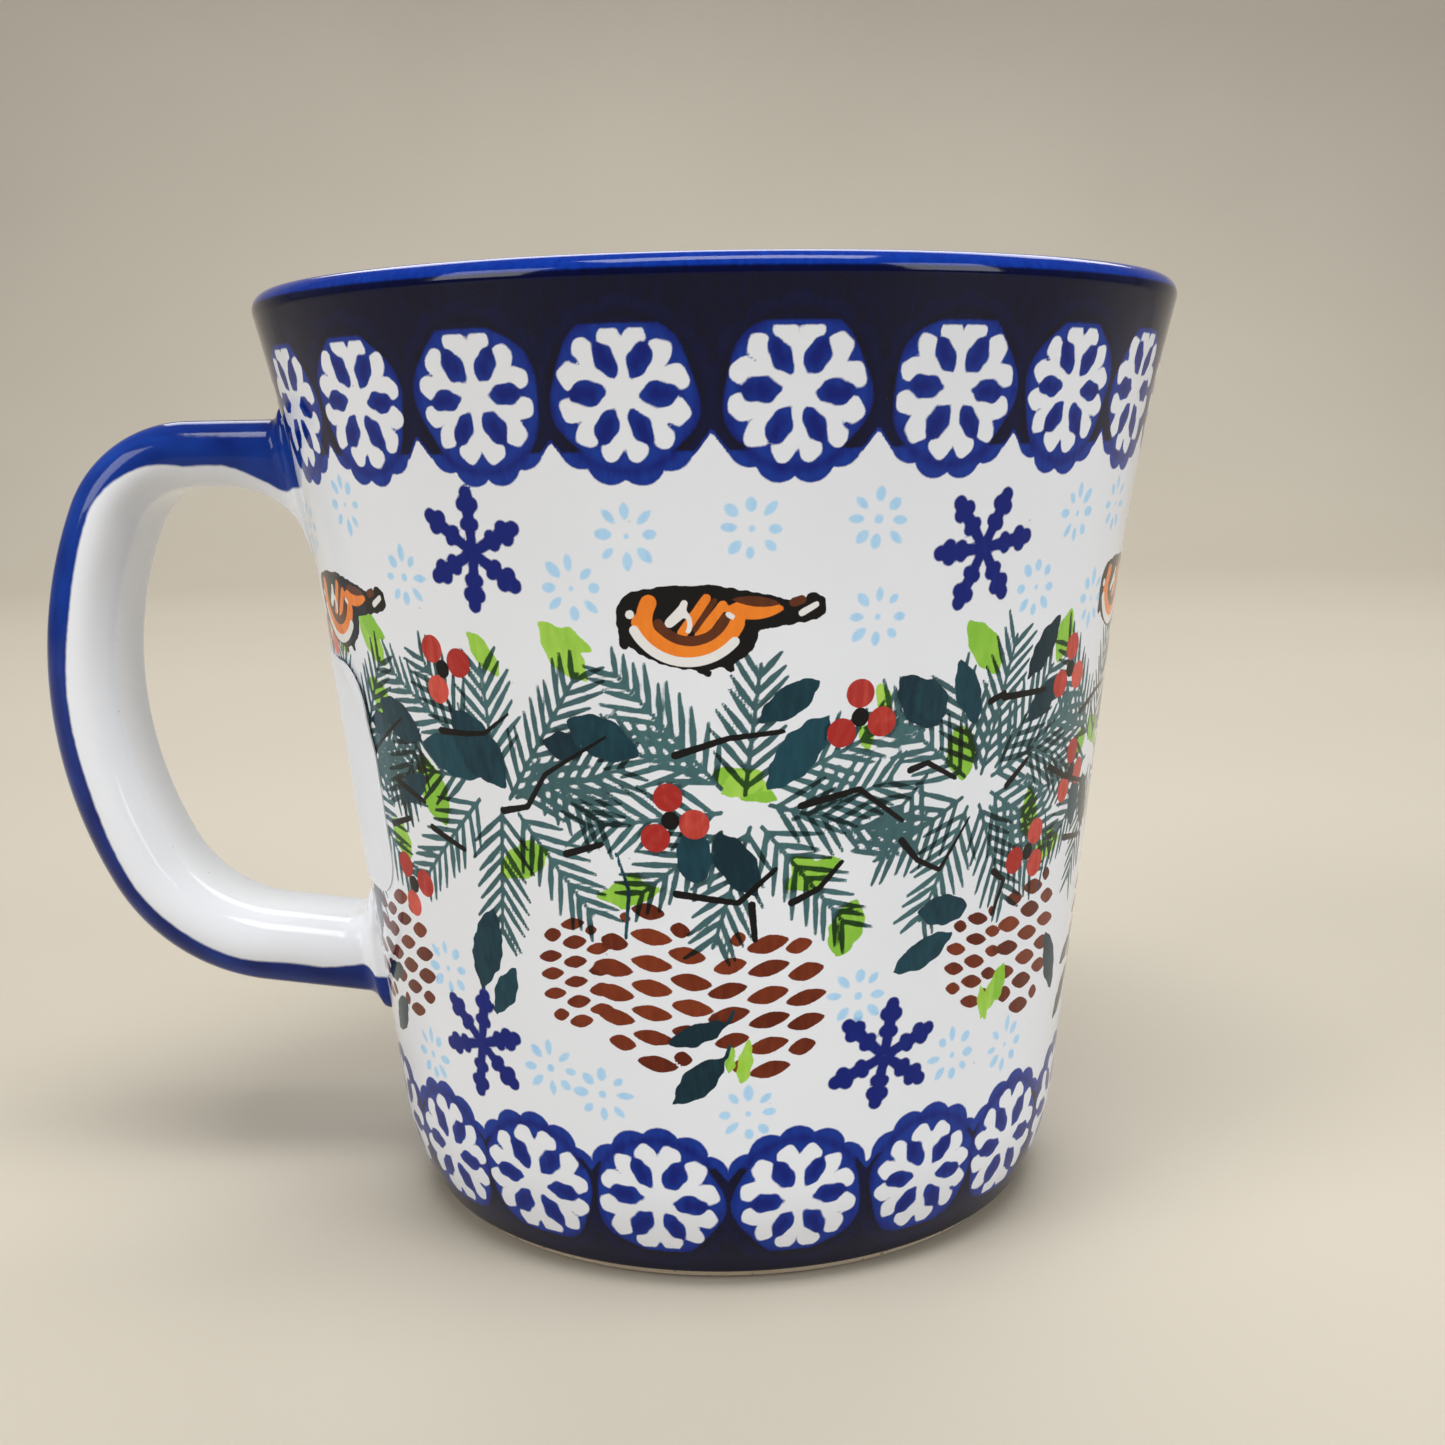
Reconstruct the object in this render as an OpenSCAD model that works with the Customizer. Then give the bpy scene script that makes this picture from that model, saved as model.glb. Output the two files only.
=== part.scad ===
// Stoneware mug: a tapered cup with a flared lip, a strap handle luted on with slip,
// and a thin clear glaze everywhere except on the foot ring.
// Millimetres. The origin is on the cup's axis, in the plane that the foot ring stands on.
// +Z is up, the handle is on the -X side and the front of the cup faces -Y.

/* [Cup] */
// Height from the foot ring to the top of the lip
cup_h = 96; // [70:1:130]
// Outer radius that the straight wall would have at the foot plane
wall_foot_r = 35.5; // [28:0.5:50]
// Outward taper of the wall, in degrees
wall_taper = 6.2; // [0:0.1:12]
// How far the lip flares out beyond the straight wall
flare_out = 2.5; // [0:0.1:6]
// Height of the flared stretch below the lip
flare_h = 34; // [10:1:50]
// How far the rounded heel pulls in at the foot
heel_in = 2.8; // [0.5:0.1:6]
// Height of the rounded heel
heel_h = 12; // [4:1:25]
// Thickness of the wall, glaze included
wall_t = 4.6; // [3:0.1:8]
// Thickness of the lip, glaze included
lip_t = 3.4; // [2.5:0.1:5]
// Thickness of the floor, glaze included
floor_t = 5.2; // [4:0.1:9]
// Radius of the curve between the inside wall and the floor
floor_fillet = 12; // [4:0.5:18]

/* [Foot] */
// Depth of the hollow under the base
foot_recess = 2.2; // [1:0.1:4]
// Width of the ring that the cup stands on
foot_ring_w = 4.2; // [2:0.1:8]
// Height of the bare strip that the glaze stops short of
foot_bare = 0.9; // [0.4:0.1:3]

/* [Handle] */
// Thickness of the clay strap along its top run
strap_top_t = 6; // [4:0.1:10]
// Thickness of the clay strap along its bottom run
strap_low_t = 7; // [4:0.1:10]
// Width of the clay strap
strap_w = 14.4; // [11:0.1:24]
// Drop from the lip to the middle of the strap's top run
handle_drop = 15.9; // [12:0.1:30]
// Length of the straight top run, from the wall to the first bend
top_run = 11; // [9:0.5:20]
// Radius of the upper bend, at the middle of the strap
upper_bend_r = 10.5; // [8:0.5:20]
// Radius of the lower bend, at the middle of the strap
lower_bend_r = 17.5; // [8:0.5:30]
// Drop from the top run to the end of the lower bend
handle_span = 54; // [44:0.5:70]
// Radius of the slip fillet under the top run
upper_fillet_r = 8.5; // [3:0.5:10]
// Radius of the slip fillet over the bottom run
lower_fillet_r = 3; // [1:0.5:6]
// Thickness of the slip that lutes the strap to the wall
slip_t = 0.8; // [0.5:0.1:2]

/* [Glaze] */
// Thickness of the glaze
glaze_t = 0.4; // [0.2:0.1:0.8]

/* [Label] */
// Width of the paper label, round the wall
label_w = 24; // [12:1:30]
// Height of the paper label
label_h = 24; // [12:1:30]
// Radius of its corners
label_corner_r = 5; // [1:0.5:5]
// Thickness of the paper
label_t = 0.15; // [0.1:0.05:0.3]
// Gap between the label and the lower joint's fillet
label_gap = 4; // [1:0.5:10]
// Its direction from the axis, in degrees anticlockwise from +X
label_turn = 197.5; // [190:0.5:220]

/* [Hidden] */

$fn = 96;
wall_steps = 40;
lip_steps = 12;
floor_steps = 12;
bend_steps = 9;
edge_steps = 8;          // steps round each edge of the strap
flare_power = 2;         // the flare is a parabola
heel_power = 2.5;
upper_turn = 67;         // how far each bend turns the strap, in degrees
side_turn = 50.5;
lower_turn = 55;
into_wall = 6;           // how far what sits on the wall runs into it before it is trimmed
foot_soft = 0.5;         // the wiped edges of the foot ring
slip_key = 0.1;          // how far the slip keys into the scored face of the strap
lip_r = lip_t / 2;

clay_colour = "tan";
white_glaze_colour = "ivory";
blue_glaze_colour = "midnightblue";
paper_colour = "white";

// ---- The wall's curve ----

// Outer radius of the glazed wall at height z.
function wall_r(z) =
    wall_foot_r + z * tan(wall_taper)
    - heel_in * pow(max(0, 1 - z / heel_h), heel_power)
    + flare_out * pow(max(0, 1 - (cup_h - z) / flare_h), flare_power);

// How many degrees the wall leans outwards at height z.
function wall_lean(z, dz = 0.01) = atan2(wall_r(z + dz) - wall_r(z - dz), 2 * dz);

// The point of the wall at height z, moved inwards by depth, square to the surface.
function wall_point(z, depth) =
    [wall_r(z) - depth * cos(wall_lean(z)), z + depth * sin(wall_lean(z))];

// Thickness at height z: it thins from the wall's to the lip's over the flare.
function thickness(z) =
    wall_t - (wall_t - lip_t) * pow(max(0, 1 - (cup_h - z) / flare_h), flare_power);

// Points on an arc, from one angle to the other.
function arc(centre, r, from, to, steps) =
    [for (i = [0:steps])
        let (a = from + (to - from) * i / steps)
        centre + r * [cos(a), sin(a)]];

// Where the wall ends and the lip's half circle begins, so that the lip tops out at cup_h.
wall_top_z = cup_h - lip_r - lip_r * sin(wall_lean(cup_h - lip_r));
lip_centre = wall_point(wall_top_z, lip_r);
lip_lean = wall_lean(wall_top_z);

// The outer curve from the bare foot strip up to the middle of the lip, moved inwards by depth.
function outer_curve(depth) = concat(
    [for (i = [0:wall_steps - 1])
        wall_point(foot_bare + (wall_top_z - foot_bare) * i / wall_steps, depth)],
    arc(lip_centre, lip_r - depth, -lip_lean, 90, lip_steps)
);

// The curve that joins the inside wall to the floor.
floor_z = foot_recess + floor_t;
inner_foot_z = floor_z + floor_fillet - (wall_t + floor_fillet) * sin(wall_taper);
floor_arc_centre = wall_point(inner_foot_z, wall_t + floor_fillet);
floor_arc_start = -wall_lean(inner_foot_z);

// The inner curve from the middle of the lip down to the axis, moved into the clay by depth.
function inner_curve(depth) = concat(
    arc(lip_centre, lip_r - depth, 90, 180 - lip_lean, lip_steps),
    [for (i = [1:wall_steps - 1])
        let (z = wall_top_z + (inner_foot_z - wall_top_z) * i / wall_steps)
        wall_point(z, thickness(z) - depth)],
    arc(floor_arc_centre, floor_fillet + depth, floor_arc_start, -90, floor_steps),
    [[0, floor_arc_centre[1] - floor_fillet - depth]]
);

function backwards(list) = [for (i = [len(list) - 1:-1:0]) list[i]];

// ---- Cup ----

foot_r = wall_point(0, glaze_t)[0];
ring_inner_r = foot_r - foot_ring_w;
recess_top = foot_recess + glaze_t;

// The bare clay, with the foot ring's two edges wiped round.
module stoneware_body() {
    color(clay_colour) rotate_extrude() polygon(concat(
        [[0, recess_top], [ring_inner_r, recess_top], [ring_inner_r, foot_soft],
         [ring_inner_r + foot_soft, 0], [foot_r - foot_soft, 0], wall_point(0, glaze_t)],
        outer_curve(glaze_t),
        inner_curve(glaze_t)
    ));
}

// Everything inside the outer curve, moved inwards by depth: it trims what sits on the wall.
module cup_filled(depth) {
    rotate_extrude() polygon(concat(
        [[0, 0], wall_point(0, depth)],
        outer_curve(depth),
        [[0, cup_h - depth]]
    ));
}

// ---- Handle: the middle line is a top run, three bends that meet smoothly, and a bottom run ----

top_z = cup_h - handle_drop;
bend_start = [-wall_r(top_z) - top_run, top_z];
side_angle = 90 + upper_turn;          // where each bend starts, seen from its own centre
low_angle = side_angle + side_turn;
end_angle = low_angle + lower_turn;

// Radius of the side bend, from the drop that the two other bends leave to it.
side_bend_r = (handle_span - upper_bend_r * (1 - sin(side_angle))
               - lower_bend_r * (sin(low_angle) - sin(end_angle)))
              / (sin(side_angle) - sin(low_angle));

upper_centre = bend_start - upper_bend_r * [0, 1];
side_centre = upper_centre + (upper_bend_r - side_bend_r) * [cos(side_angle), sin(side_angle)];
lower_centre = side_centre + (side_bend_r - lower_bend_r) * [cos(low_angle), sin(low_angle)];
bend_end = lower_centre + lower_bend_r * [cos(end_angle), sin(end_angle)];

// The bottom run, which falls towards the wall.
run_slope = 270 - end_angle;
run_dir = [cos(run_slope), -sin(run_slope)];
run_up = [sin(run_slope), cos(run_slope)];
bottom_run = (-bend_end[0] - wall_r(bend_end[1])) / cos(run_slope);

// The strap's middle line as stations: each is a place, the direction that faces out of the
// loop there, and how far along the bends it is, from 0 to 1.
function stations(centre, r, from, turn) =
    [for (i = [1:bend_steps])
        let (out = [cos(from + turn * i / bend_steps), sin(from + turn * i / bend_steps)])
        [centre + r * out, out, ((from - 90) + turn * i / bend_steps) / (end_angle - 90)]];

top_ends = [[bend_start + (top_run + into_wall) * [1, 0], [0, 1], 0], [bend_start, [0, 1], 0]];
bottom_ends = [[bend_end, -run_up, 1],
               [bend_end + (bottom_run + into_wall) * run_dir, -run_up, 1]];
strap_line = concat(
    top_ends,
    stations(upper_centre, upper_bend_r, 90, upper_turn),
    stations(side_centre, side_bend_r, side_angle, side_turn),
    stations(lower_centre, lower_bend_r, low_angle, lower_turn),
    [bottom_ends[1]]
);

// Half the clay strap's thickness at a station: it thickens steadily round the bends.
function half_t(share) = (strap_top_t + (strap_low_t - strap_top_t) * share) / 2;

// The strap's section, a flat strip with round edges, grown by grow on every side.
function strap_section(share, grow) =
    let (r = half_t(share), flat = strap_w / 2 - r)
    concat(arc([0, flat], r + grow, 0, 180, edge_steps),
           arc([0, -flat], r + grow, 180, 360, edge_steps));

// A skin through the section at each station, closed by the first and the last.
module sweep(line, grow) {
    count = 2 * (edge_steps + 1);
    last = len(line) - 1;
    polyhedron(
        points = [for (s = line, q = strap_section(s[2], grow))
            [s[0][0] + q[0] * s[1][0], q[1], s[0][1] + q[0] * s[1][1]]],
        faces = concat(
            [[for (j = [0:count - 1]) j]],
            [for (i = [0:last - 1], j = [0:count - 1])
                let (k = (j + 1) % count)
                [i * count + k, i * count + j, (i + 1) * count + j, (i + 1) * count + k]],
            [[for (j = [count - 1:-1:0]) last * count + j]]
        )
    );
}

module strap(grow) { sweep(strap_line, grow); }

module handle() {
    color(clay_colour) difference() {
        strap(0);
        cup_filled(glaze_t - slip_t);
        upper_fillet(0);
        lower_fillet(0);
    }
}

// ---- Slip joints: a pad behind each end of the strap, and a fillet in the corner of the loop ----

// How far a fillet of radius r reaches along the two lines that leave a corner.
function fillet_reach(along_strap, along_wall, r) = r / tan(acos(along_strap * along_wall) / 2);

// The fillet in the corner between the strap's face and the wall. It is keyed into the strap,
// and its curve is cut back by grow.
module fillet(corner, along_strap, along_wall, width, r, grow) {
    opening = acos(along_strap * along_wall);
    reach = fillet_reach(along_strap, along_wall, r);
    centre = corner + (along_strap + along_wall) * r / sin(opening);
    key = slip_key * (along_wall - cos(opening) * along_strap) / sin(opening);
    rotate([90, 0, 0])
        linear_extrude(width + 2 * grow, center = true)
            difference() {
                polygon([
                    corner + reach * along_strap - key, corner + reach * along_strap, centre,
                    corner + reach * along_wall,
                    corner + reach * along_wall - into_wall * along_strap,
                    corner - into_wall * along_strap - key
                ]);
                translate(centre) circle(r = r - grow);
            }
}

// Under the top run.
upper_corner_z = top_z - half_t(0);
upper_lean = wall_lean(upper_corner_z - upper_fillet_r / 2);

module upper_fillet(grow) {
    fillet([-wall_r(upper_corner_z), upper_corner_z], [-1, 0],
           [sin(upper_lean), -cos(upper_lean)], strap_w - strap_top_t, upper_fillet_r, grow);
}

// Over the bottom run.
lower_face_start = bend_end + run_up * half_t(1);
lower_corner_z = lower_face_start[1]
    - (-lower_face_start[0] - wall_r(lower_face_start[1])) * tan(run_slope);
lower_lean = wall_lean(lower_corner_z + lower_fillet_r / 2);
lower_up_wall = [-sin(lower_lean), cos(lower_lean)];

module lower_fillet(grow) {
    fillet([-wall_r(lower_corner_z), lower_corner_z], -run_dir, lower_up_wall,
           strap_w - strap_low_t, lower_fillet_r, grow);
}

module upper_slip_joint() {
    color(clay_colour) difference() {
        union() {
            intersection() {
                sweep(top_ends, 0);
                cup_filled(glaze_t - slip_t);
            }
            upper_fillet(0);
        }
        cup_filled(glaze_t);
    }
}

module lower_slip_joint() {
    color(clay_colour) difference() {
        union() {
            intersection() {
                sweep(bottom_ends, 0);
                cup_filled(glaze_t - slip_t);
            }
            lower_fillet(0);
        }
        cup_filled(glaze_t);
    }
}

// ---- Glaze ----

// The coat that was dipped: from the bare foot strip up to the middle of the lip.
module outer_glaze() {
    color(white_glaze_colour) difference() {
        rotate_extrude() polygon(concat(outer_curve(0), backwards(outer_curve(glaze_t))));
        strap(0);
        upper_fillet(0);
        lower_fillet(0);
    }
}

// The coat that was poured in and out: from the middle of the lip down over the floor.
module inner_glaze() {
    color(white_glaze_colour)
        rotate_extrude() polygon(concat(inner_curve(0), backwards(inner_curve(glaze_t))));
}

// The coat in the hollow under the base.
module base_glaze() {
    color(white_glaze_colour) translate([0, 0, foot_recess])
        cylinder(h = glaze_t, r = ring_inner_r);
}

// The coat over the strap and its joints.
module handle_glaze() {
    color(blue_glaze_colour) difference() {
        union() {
            strap(glaze_t);
            upper_fillet(glaze_t);
            lower_fillet(glaze_t);
        }
        strap(0);
        upper_fillet(0);
        lower_fillet(0);
        cup_filled(0);
    }
}

// ---- Label: blank paper, stuck to the glaze inside the loop and beside the handle ----

label_z = lower_corner_z + fillet_reach(-run_dir, lower_up_wall, lower_fillet_r)
    + label_gap + label_h / 2;

module label_outline() {
    inner_w = label_w - 2 * label_corner_r;
    inner_h = label_h - 2 * label_corner_r;
    square([label_w, inner_h], center = true);
    square([inner_w, label_h], center = true);
    for (x = [-1, 1], y = [-1, 1])
        translate([x * inner_w / 2, y * inner_h / 2]) circle(r = label_corner_r);
}

module price_label() {
    color(paper_colour) intersection() {
        difference() {
            cup_filled(-label_t);
            cup_filled(0);
        }
        rotate([0, 0, label_turn]) translate([0, 0, label_z]) rotate([90, 0, 90])
            linear_extrude(2 * wall_r(label_z)) label_outline();
    }
}

stoneware_body();
handle();
upper_slip_joint();
lower_slip_joint();
outer_glaze();
inner_glaze();
base_glaze();
handle_glaze();
price_label();
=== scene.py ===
import math

import bpy
import numpy as np
from mathutils import Matrix, Vector


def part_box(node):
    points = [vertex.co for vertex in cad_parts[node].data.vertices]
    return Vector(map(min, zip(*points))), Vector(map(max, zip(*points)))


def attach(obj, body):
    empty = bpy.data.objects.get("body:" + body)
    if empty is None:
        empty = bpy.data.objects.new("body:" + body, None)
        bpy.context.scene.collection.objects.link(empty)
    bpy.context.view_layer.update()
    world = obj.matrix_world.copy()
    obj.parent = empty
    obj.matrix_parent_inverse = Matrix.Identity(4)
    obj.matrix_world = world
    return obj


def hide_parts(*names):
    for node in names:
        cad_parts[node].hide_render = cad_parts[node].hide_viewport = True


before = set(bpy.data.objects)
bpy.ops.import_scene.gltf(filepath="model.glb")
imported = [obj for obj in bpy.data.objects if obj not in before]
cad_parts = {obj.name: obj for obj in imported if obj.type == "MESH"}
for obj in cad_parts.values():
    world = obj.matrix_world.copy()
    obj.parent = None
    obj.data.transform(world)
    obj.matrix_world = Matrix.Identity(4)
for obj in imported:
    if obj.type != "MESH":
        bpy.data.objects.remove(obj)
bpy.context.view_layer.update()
MM = 0.001


# ---- Studio ----
# A pale matt sheet lies under the cup and curves up behind it. Four large diffused panels and the
# pale room round them light it softly.

SHEET_HALF_WIDTH, SHEET_FRONT, SHEET_BACK = 2.2, -1.4, 0.75   # m, as are the next two
SHEET_BEND_R, SHEET_TOP = 0.45, 2.2
CUP_MIDDLE = Vector((0, 0, 0.05))


def colour(code):
    """An sRGB hex colour as linear light: its share over 12.92 in the darks, a power of 2.4 above."""
    part = np.array([int(code[i:i + 2], 16) for i in (1, 3, 5)]) / 255
    linear = np.where(part <= 0.04045, part / 12.92, ((part + 0.055) / 1.055) ** 2.4)
    return (*linear.tolist(), 1.0)


def node(tree, kind, inputs=None, **settings):
    """Adds a shader node. Inputs go by a socket's name or number, as a value or a socket."""
    made = tree.nodes.new("ShaderNode" + kind)
    for key, value in settings.items():
        setattr(made, key, value)
    for key, value in (inputs or {}).items():
        if isinstance(value, bpy.types.NodeSocket):
            tree.links.new(value, made.inputs[key])
        else:
            made.inputs[key].default_value = value
    return made


def material(name, **finish):
    """A named material, its tree, its shader with the finish set, and its Object coordinates."""
    made = bpy.data.materials.new(name)
    made.use_nodes = True
    tree = made.node_tree
    shader = tree.nodes["Principled BSDF"]
    for key, value in finish.items():
        shader.inputs[key.replace("_", " ")].default_value = value
    return made, tree, shader, node(tree, "TexCoord").outputs["Object"]


def mesh_object(name, points, *faces):
    """An object from points in metres and arrays of faces, one array per number of corners."""
    mesh = bpy.data.meshes.new(name)
    corners = np.concatenate([face.ravel() for face in faces]).astype(np.int32)
    sizes = np.concatenate([np.full(len(face), face.shape[1]) for face in faces])
    mesh.vertices.add(len(points))
    mesh.vertices.foreach_set("co", np.asarray(points, np.float32).ravel())
    mesh.loops.add(len(corners))
    mesh.loops.foreach_set("vertex_index", corners)
    mesh.polygons.add(len(sizes))
    mesh.polygons.foreach_set("loop_start", (np.cumsum(sizes) - sizes).astype(np.int32))
    mesh.update(calc_edges=True)
    mesh.shade_smooth()
    made = bpy.data.objects.new(name, mesh)
    bpy.context.scene.collection.objects.link(made)
    return made


def quads(numbers):
    """Faces between each row of a grid of point numbers and the next row."""
    return np.stack([numbers[:-1, :-1], numbers[:-1, 1:], numbers[1:, 1:], numbers[1:, :-1]],
                    axis=-1).reshape(-1, 4)


# The sheet's outline, flat, then a quarter circle, then upright, carried across its width.
bend = np.linspace(-math.pi / 2, 0, 25)
sheet_y = np.r_[SHEET_FRONT, SHEET_BACK + SHEET_BEND_R * np.cos(bend), SHEET_BACK + SHEET_BEND_R]
sheet_z = np.r_[0, SHEET_BEND_R + SHEET_BEND_R * np.sin(bend), SHEET_TOP]
across = np.array([-SHEET_HALF_WIDTH, SHEET_HALF_WIDTH])
sheet_points = np.stack(np.broadcast_arrays(across[None, :], sheet_y[:, None], sheet_z[:, None]),
                        axis=-1)
sheet = mesh_object("studio_sheet", sheet_points.reshape(-1, 3),
                    quads(np.arange(2 * len(sheet_y)).reshape(-1, 2)))

# Matt painted board: even, with a breath of unevenness.
board, tree, shader, place = material("pale_matt_board", Roughness=0.62)
uneven = node(tree, "TexNoise", {"Vector": place, "Scale": 6.0, "Detail": 3.0})
board_tone = node(tree, "Mix", {0: uneven.outputs[0], 6: colour("#aca495"), 7: colour("#b5ad9e")},
                  data_type="RGBA")
tree.links.new(board_tone.outputs[2], shader.inputs["Base Color"])
sheet.data.materials.append(board)

world = bpy.data.worlds.new("room")
world.use_nodes = True
room_light = world.node_tree.nodes["Background"]
room_light.inputs["Color"].default_value = colour("#e8ebf0")
room_light.inputs["Strength"].default_value = 0.23
bpy.context.scene.world = world


def softbox(name, at, size, power, tint):
    """A rectangular lamp that faces the cup's middle."""
    lamp = bpy.data.lights.new(name, "AREA")
    lamp.shape = "RECTANGLE"
    lamp.size, lamp.size_y = size
    lamp.energy = power
    lamp.color = colour(tint)[:3]
    made = bpy.data.objects.new(name, lamp)
    made.location = at
    aim = CUP_MIDDLE - made.location
    made.rotation_euler = aim.to_track_quat("-Z", "Y").to_euler()
    bpy.context.scene.collection.objects.link(made)


softbox("overhead_panel", (0.05, -0.3, 1.15), (0.9, 0.4), 13.0, "#fffefc")
softbox("left_panel", (-1.1, -0.75, 0.7), (0.6, 0.8), 10.5, "#f8faff")
softbox("right_panel", (1.15, -0.75, 0.6), (0.6, 0.8), 10.0, "#f0f5ff")
softbox("rear_panel", (0.05, 0.85, 0.8), (1.2, 0.5), 7.0, "#fffefc")

# The camera stands close in front, just under the rim's height, and looks slightly down. Its
# angles are in radians and its lens is in mm.
EYE = Vector((1.017, -188.68, 81.68)) * MM
TILT_DOWN, TURN_RIGHT, ROLL, LENS = 0.16857, -0.005144, -0.018306, 42.75
ahead = Vector((math.sin(TURN_RIGHT) * math.cos(TILT_DOWN),
                math.cos(TURN_RIGHT) * math.cos(TILT_DOWN), -math.sin(TILT_DOWN)))
level = Vector((math.cos(TURN_RIGHT), -math.sin(TURN_RIGHT), 0))
above = level.cross(ahead)
right_side = math.cos(ROLL) * level + math.sin(ROLL) * above
upper_side = math.cos(ROLL) * above - math.sin(ROLL) * level
camera = bpy.data.objects.new("camera", bpy.data.cameras.new("camera"))
camera.data.lens = LENS
camera.data.sensor_width = 36
camera.data.clip_start = 0.01
camera.matrix_world = Matrix.Translation(EYE) @ Matrix(
    (right_side, upper_side, -ahead)).transposed().to_4x4()
bpy.context.scene.collection.objects.link(camera)
bpy.context.scene.camera = camera
bpy.context.scene.view_settings.view_transform = "Standard"


# ---- Clay body, strap and slip joints ----
# The cup is thrown or jiggered stoneware, with a pulled strap stuck on with slip. Only the foot
# ring stays bare, so the clay is drawn as it looks there: buff, gritty, a little toasted.

stoneware, tree, shader, place = material("fired_buff_stoneware", Roughness=0.78, IOR=1.5)
# Iron specks of about 0.3 mm, a grain of about 0.5 mm and blushes of 8 mm from the kiln.
blush = node(tree, "TexNoise", {"Vector": place, "Scale": 120.0, "Detail": 4.0})
grain = node(tree, "TexNoise", {"Vector": place, "Scale": 2000.0, "Detail": 5.0,
                                "Roughness": 0.7})
speck = node(tree, "TexVoronoi", {"Vector": place, "Scale": 900.0})
speck_here = node(tree, "MapRange", {0: speck.outputs["Distance"], 1: 0.10, 2: 0.22, 3: 0.75,
                                     4: 0.0})
toasted = node(tree, "Mix", {0: blush.outputs[0], 6: colour("#c9b89c"), 7: colour("#a98f70")},
               data_type="RGBA")
grainy = node(tree, "Mix", {0: grain.outputs[0], 6: toasted.outputs[2], 7: colour("#d9ccb4")},
              data_type="RGBA")
specked = node(tree, "Mix", {0: speck_here.outputs[0], 6: grainy.outputs[2], 7: colour("#4d3826")},
               data_type="RGBA")
grit = node(tree, "Bump", {"Height": grain.outputs[0], "Distance": 0.06 * MM, "Strength": 0.6})
tree.links.new(specked.outputs[2], shader.inputs["Base Color"])
tree.links.new(grit.outputs[0], shader.inputs["Normal"])
for part_name in ("stoneware_body", "handle"):
    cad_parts[part_name].data.materials[0] = stoneware

# Joining slip is the same clay let down with water: finer, paler, and smoothed with a brush.
slip, tree, shader, place = material("brushed_joining_slip", Roughness=0.7, IOR=1.5)
strokes = node(tree, "Mapping", {"Vector": place, "Scale": (300.0, 2500.0, 300.0)})
bristles = node(tree, "TexNoise", {"Vector": strokes.outputs[0], "Scale": 1.0, "Detail": 3.0})
slip_tone = node(tree, "Mix", {0: bristles.outputs[0], 6: colour("#d9ccb4"), 7: colour("#c3b192")},
                 data_type="RGBA")
ridges = node(tree, "Bump", {"Height": bristles.outputs[0], "Distance": 0.05 * MM,
                             "Strength": 0.5})
tree.links.new(slip_tone.outputs[2], shader.inputs["Base Color"])
tree.links.new(ridges.outputs[0], shader.inputs["Normal"])
for part_name in ("upper_slip_joint", "lower_slip_joint"):
    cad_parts[part_name].data.materials[0] = slip


# ---- Outer glaze and its painting ----
# A coat of soft white glaze, 0.4 mm thick, dipped from the foot strip to the top of the lip.
# The painting under it is stamped and brushed with oxide colours. The coat is made as five equal
# upright panels, whose edges meet exactly.

# Sizes in mm: the wall, its turned-in heel, its flared lip, and the strip of foot left bare.
CUP_H, FOOT_R, WALL_TAPER = 96.0, 35.5, math.tan(math.radians(6.2))
HEEL_IN, HEEL_H, HEEL_POWER = 2.8, 12.0, 2.5
FLARE_OUT, FLARE_H = 2.5, 34.0
WALL_T, LIP_T, GLAZE_T, BARE_FOOT = 4.6, 3.4, 0.4, 0.9
LIP_R = LIP_T / 2
PITCH = 0.25                              # between rows of the painted face
PANELS, PANEL_COLUMNS = 5, 200
BACK_EVERY = 8                            # the hidden face has one column for this many
EDGE = 0.6                                # width of the ramp across a stroke's edge


def wall_r(z):
    """The glazed radius: a cone, less a power curve at the heel, plus a square curve at the lip."""
    return (FOOT_R + z * WALL_TAPER
            - HEEL_IN * np.maximum(0, 1 - z / HEEL_H) ** HEEL_POWER
            + FLARE_OUT * np.maximum(0, 1 - (CUP_H - z) / FLARE_H) ** 2)


def wall_lean(z):
    """The angle that the wall leans outwards, from its slope over 0.02 mm."""
    return np.arctan2(wall_r(z + 0.01) - wall_r(z - 0.01), 0.02)


def wall_point(z, depth):
    """Radius and height of the point under height z that lies depth mm into the wall."""
    return wall_r(z) - depth * np.cos(wall_lean(z)), z + depth * np.sin(wall_lean(z))


def arc(middle, r, start, end, count):
    """Radius and height along an arc between two angles, in radians."""
    turn = np.linspace(start, end, count)
    return middle[0] + r * np.cos(turn), middle[1] + r * np.sin(turn)


lip_start_z = CUP_H - LIP_R - LIP_R * math.sin(wall_lean(CUP_H - LIP_R))
lip_middle = wall_point(lip_start_z, LIP_R)
lip_lean = float(wall_lean(lip_start_z))
foot_edge = wall_point(BARE_FOOT + GLAZE_T, GLAZE_T)


def outer_profile(depth):
    """The coat's outline, depth mm in: a round lower edge, the wall, then a quarter of the lip."""
    wall_z = np.linspace(BARE_FOOT + GLAZE_T, lip_start_z, round(lip_start_z / PITCH))[:-1]
    parts = (arc(foot_edge, max(GLAZE_T - depth, 0.05), -math.pi / 2, -0.2, 4),
             wall_point(wall_z, depth),
             arc(lip_middle, LIP_R - depth, -lip_lean, math.pi / 2, 14))
    return (np.concatenate([part[0] for part in parts]),
            np.concatenate([part[1] for part in parts]))


row_r, row_z = outer_profile(0)
ALL_COLUMNS = PANELS * PANEL_COLUMNS
STEP = 360 / ALL_COLUMNS
DEGREE = math.radians(1)
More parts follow.
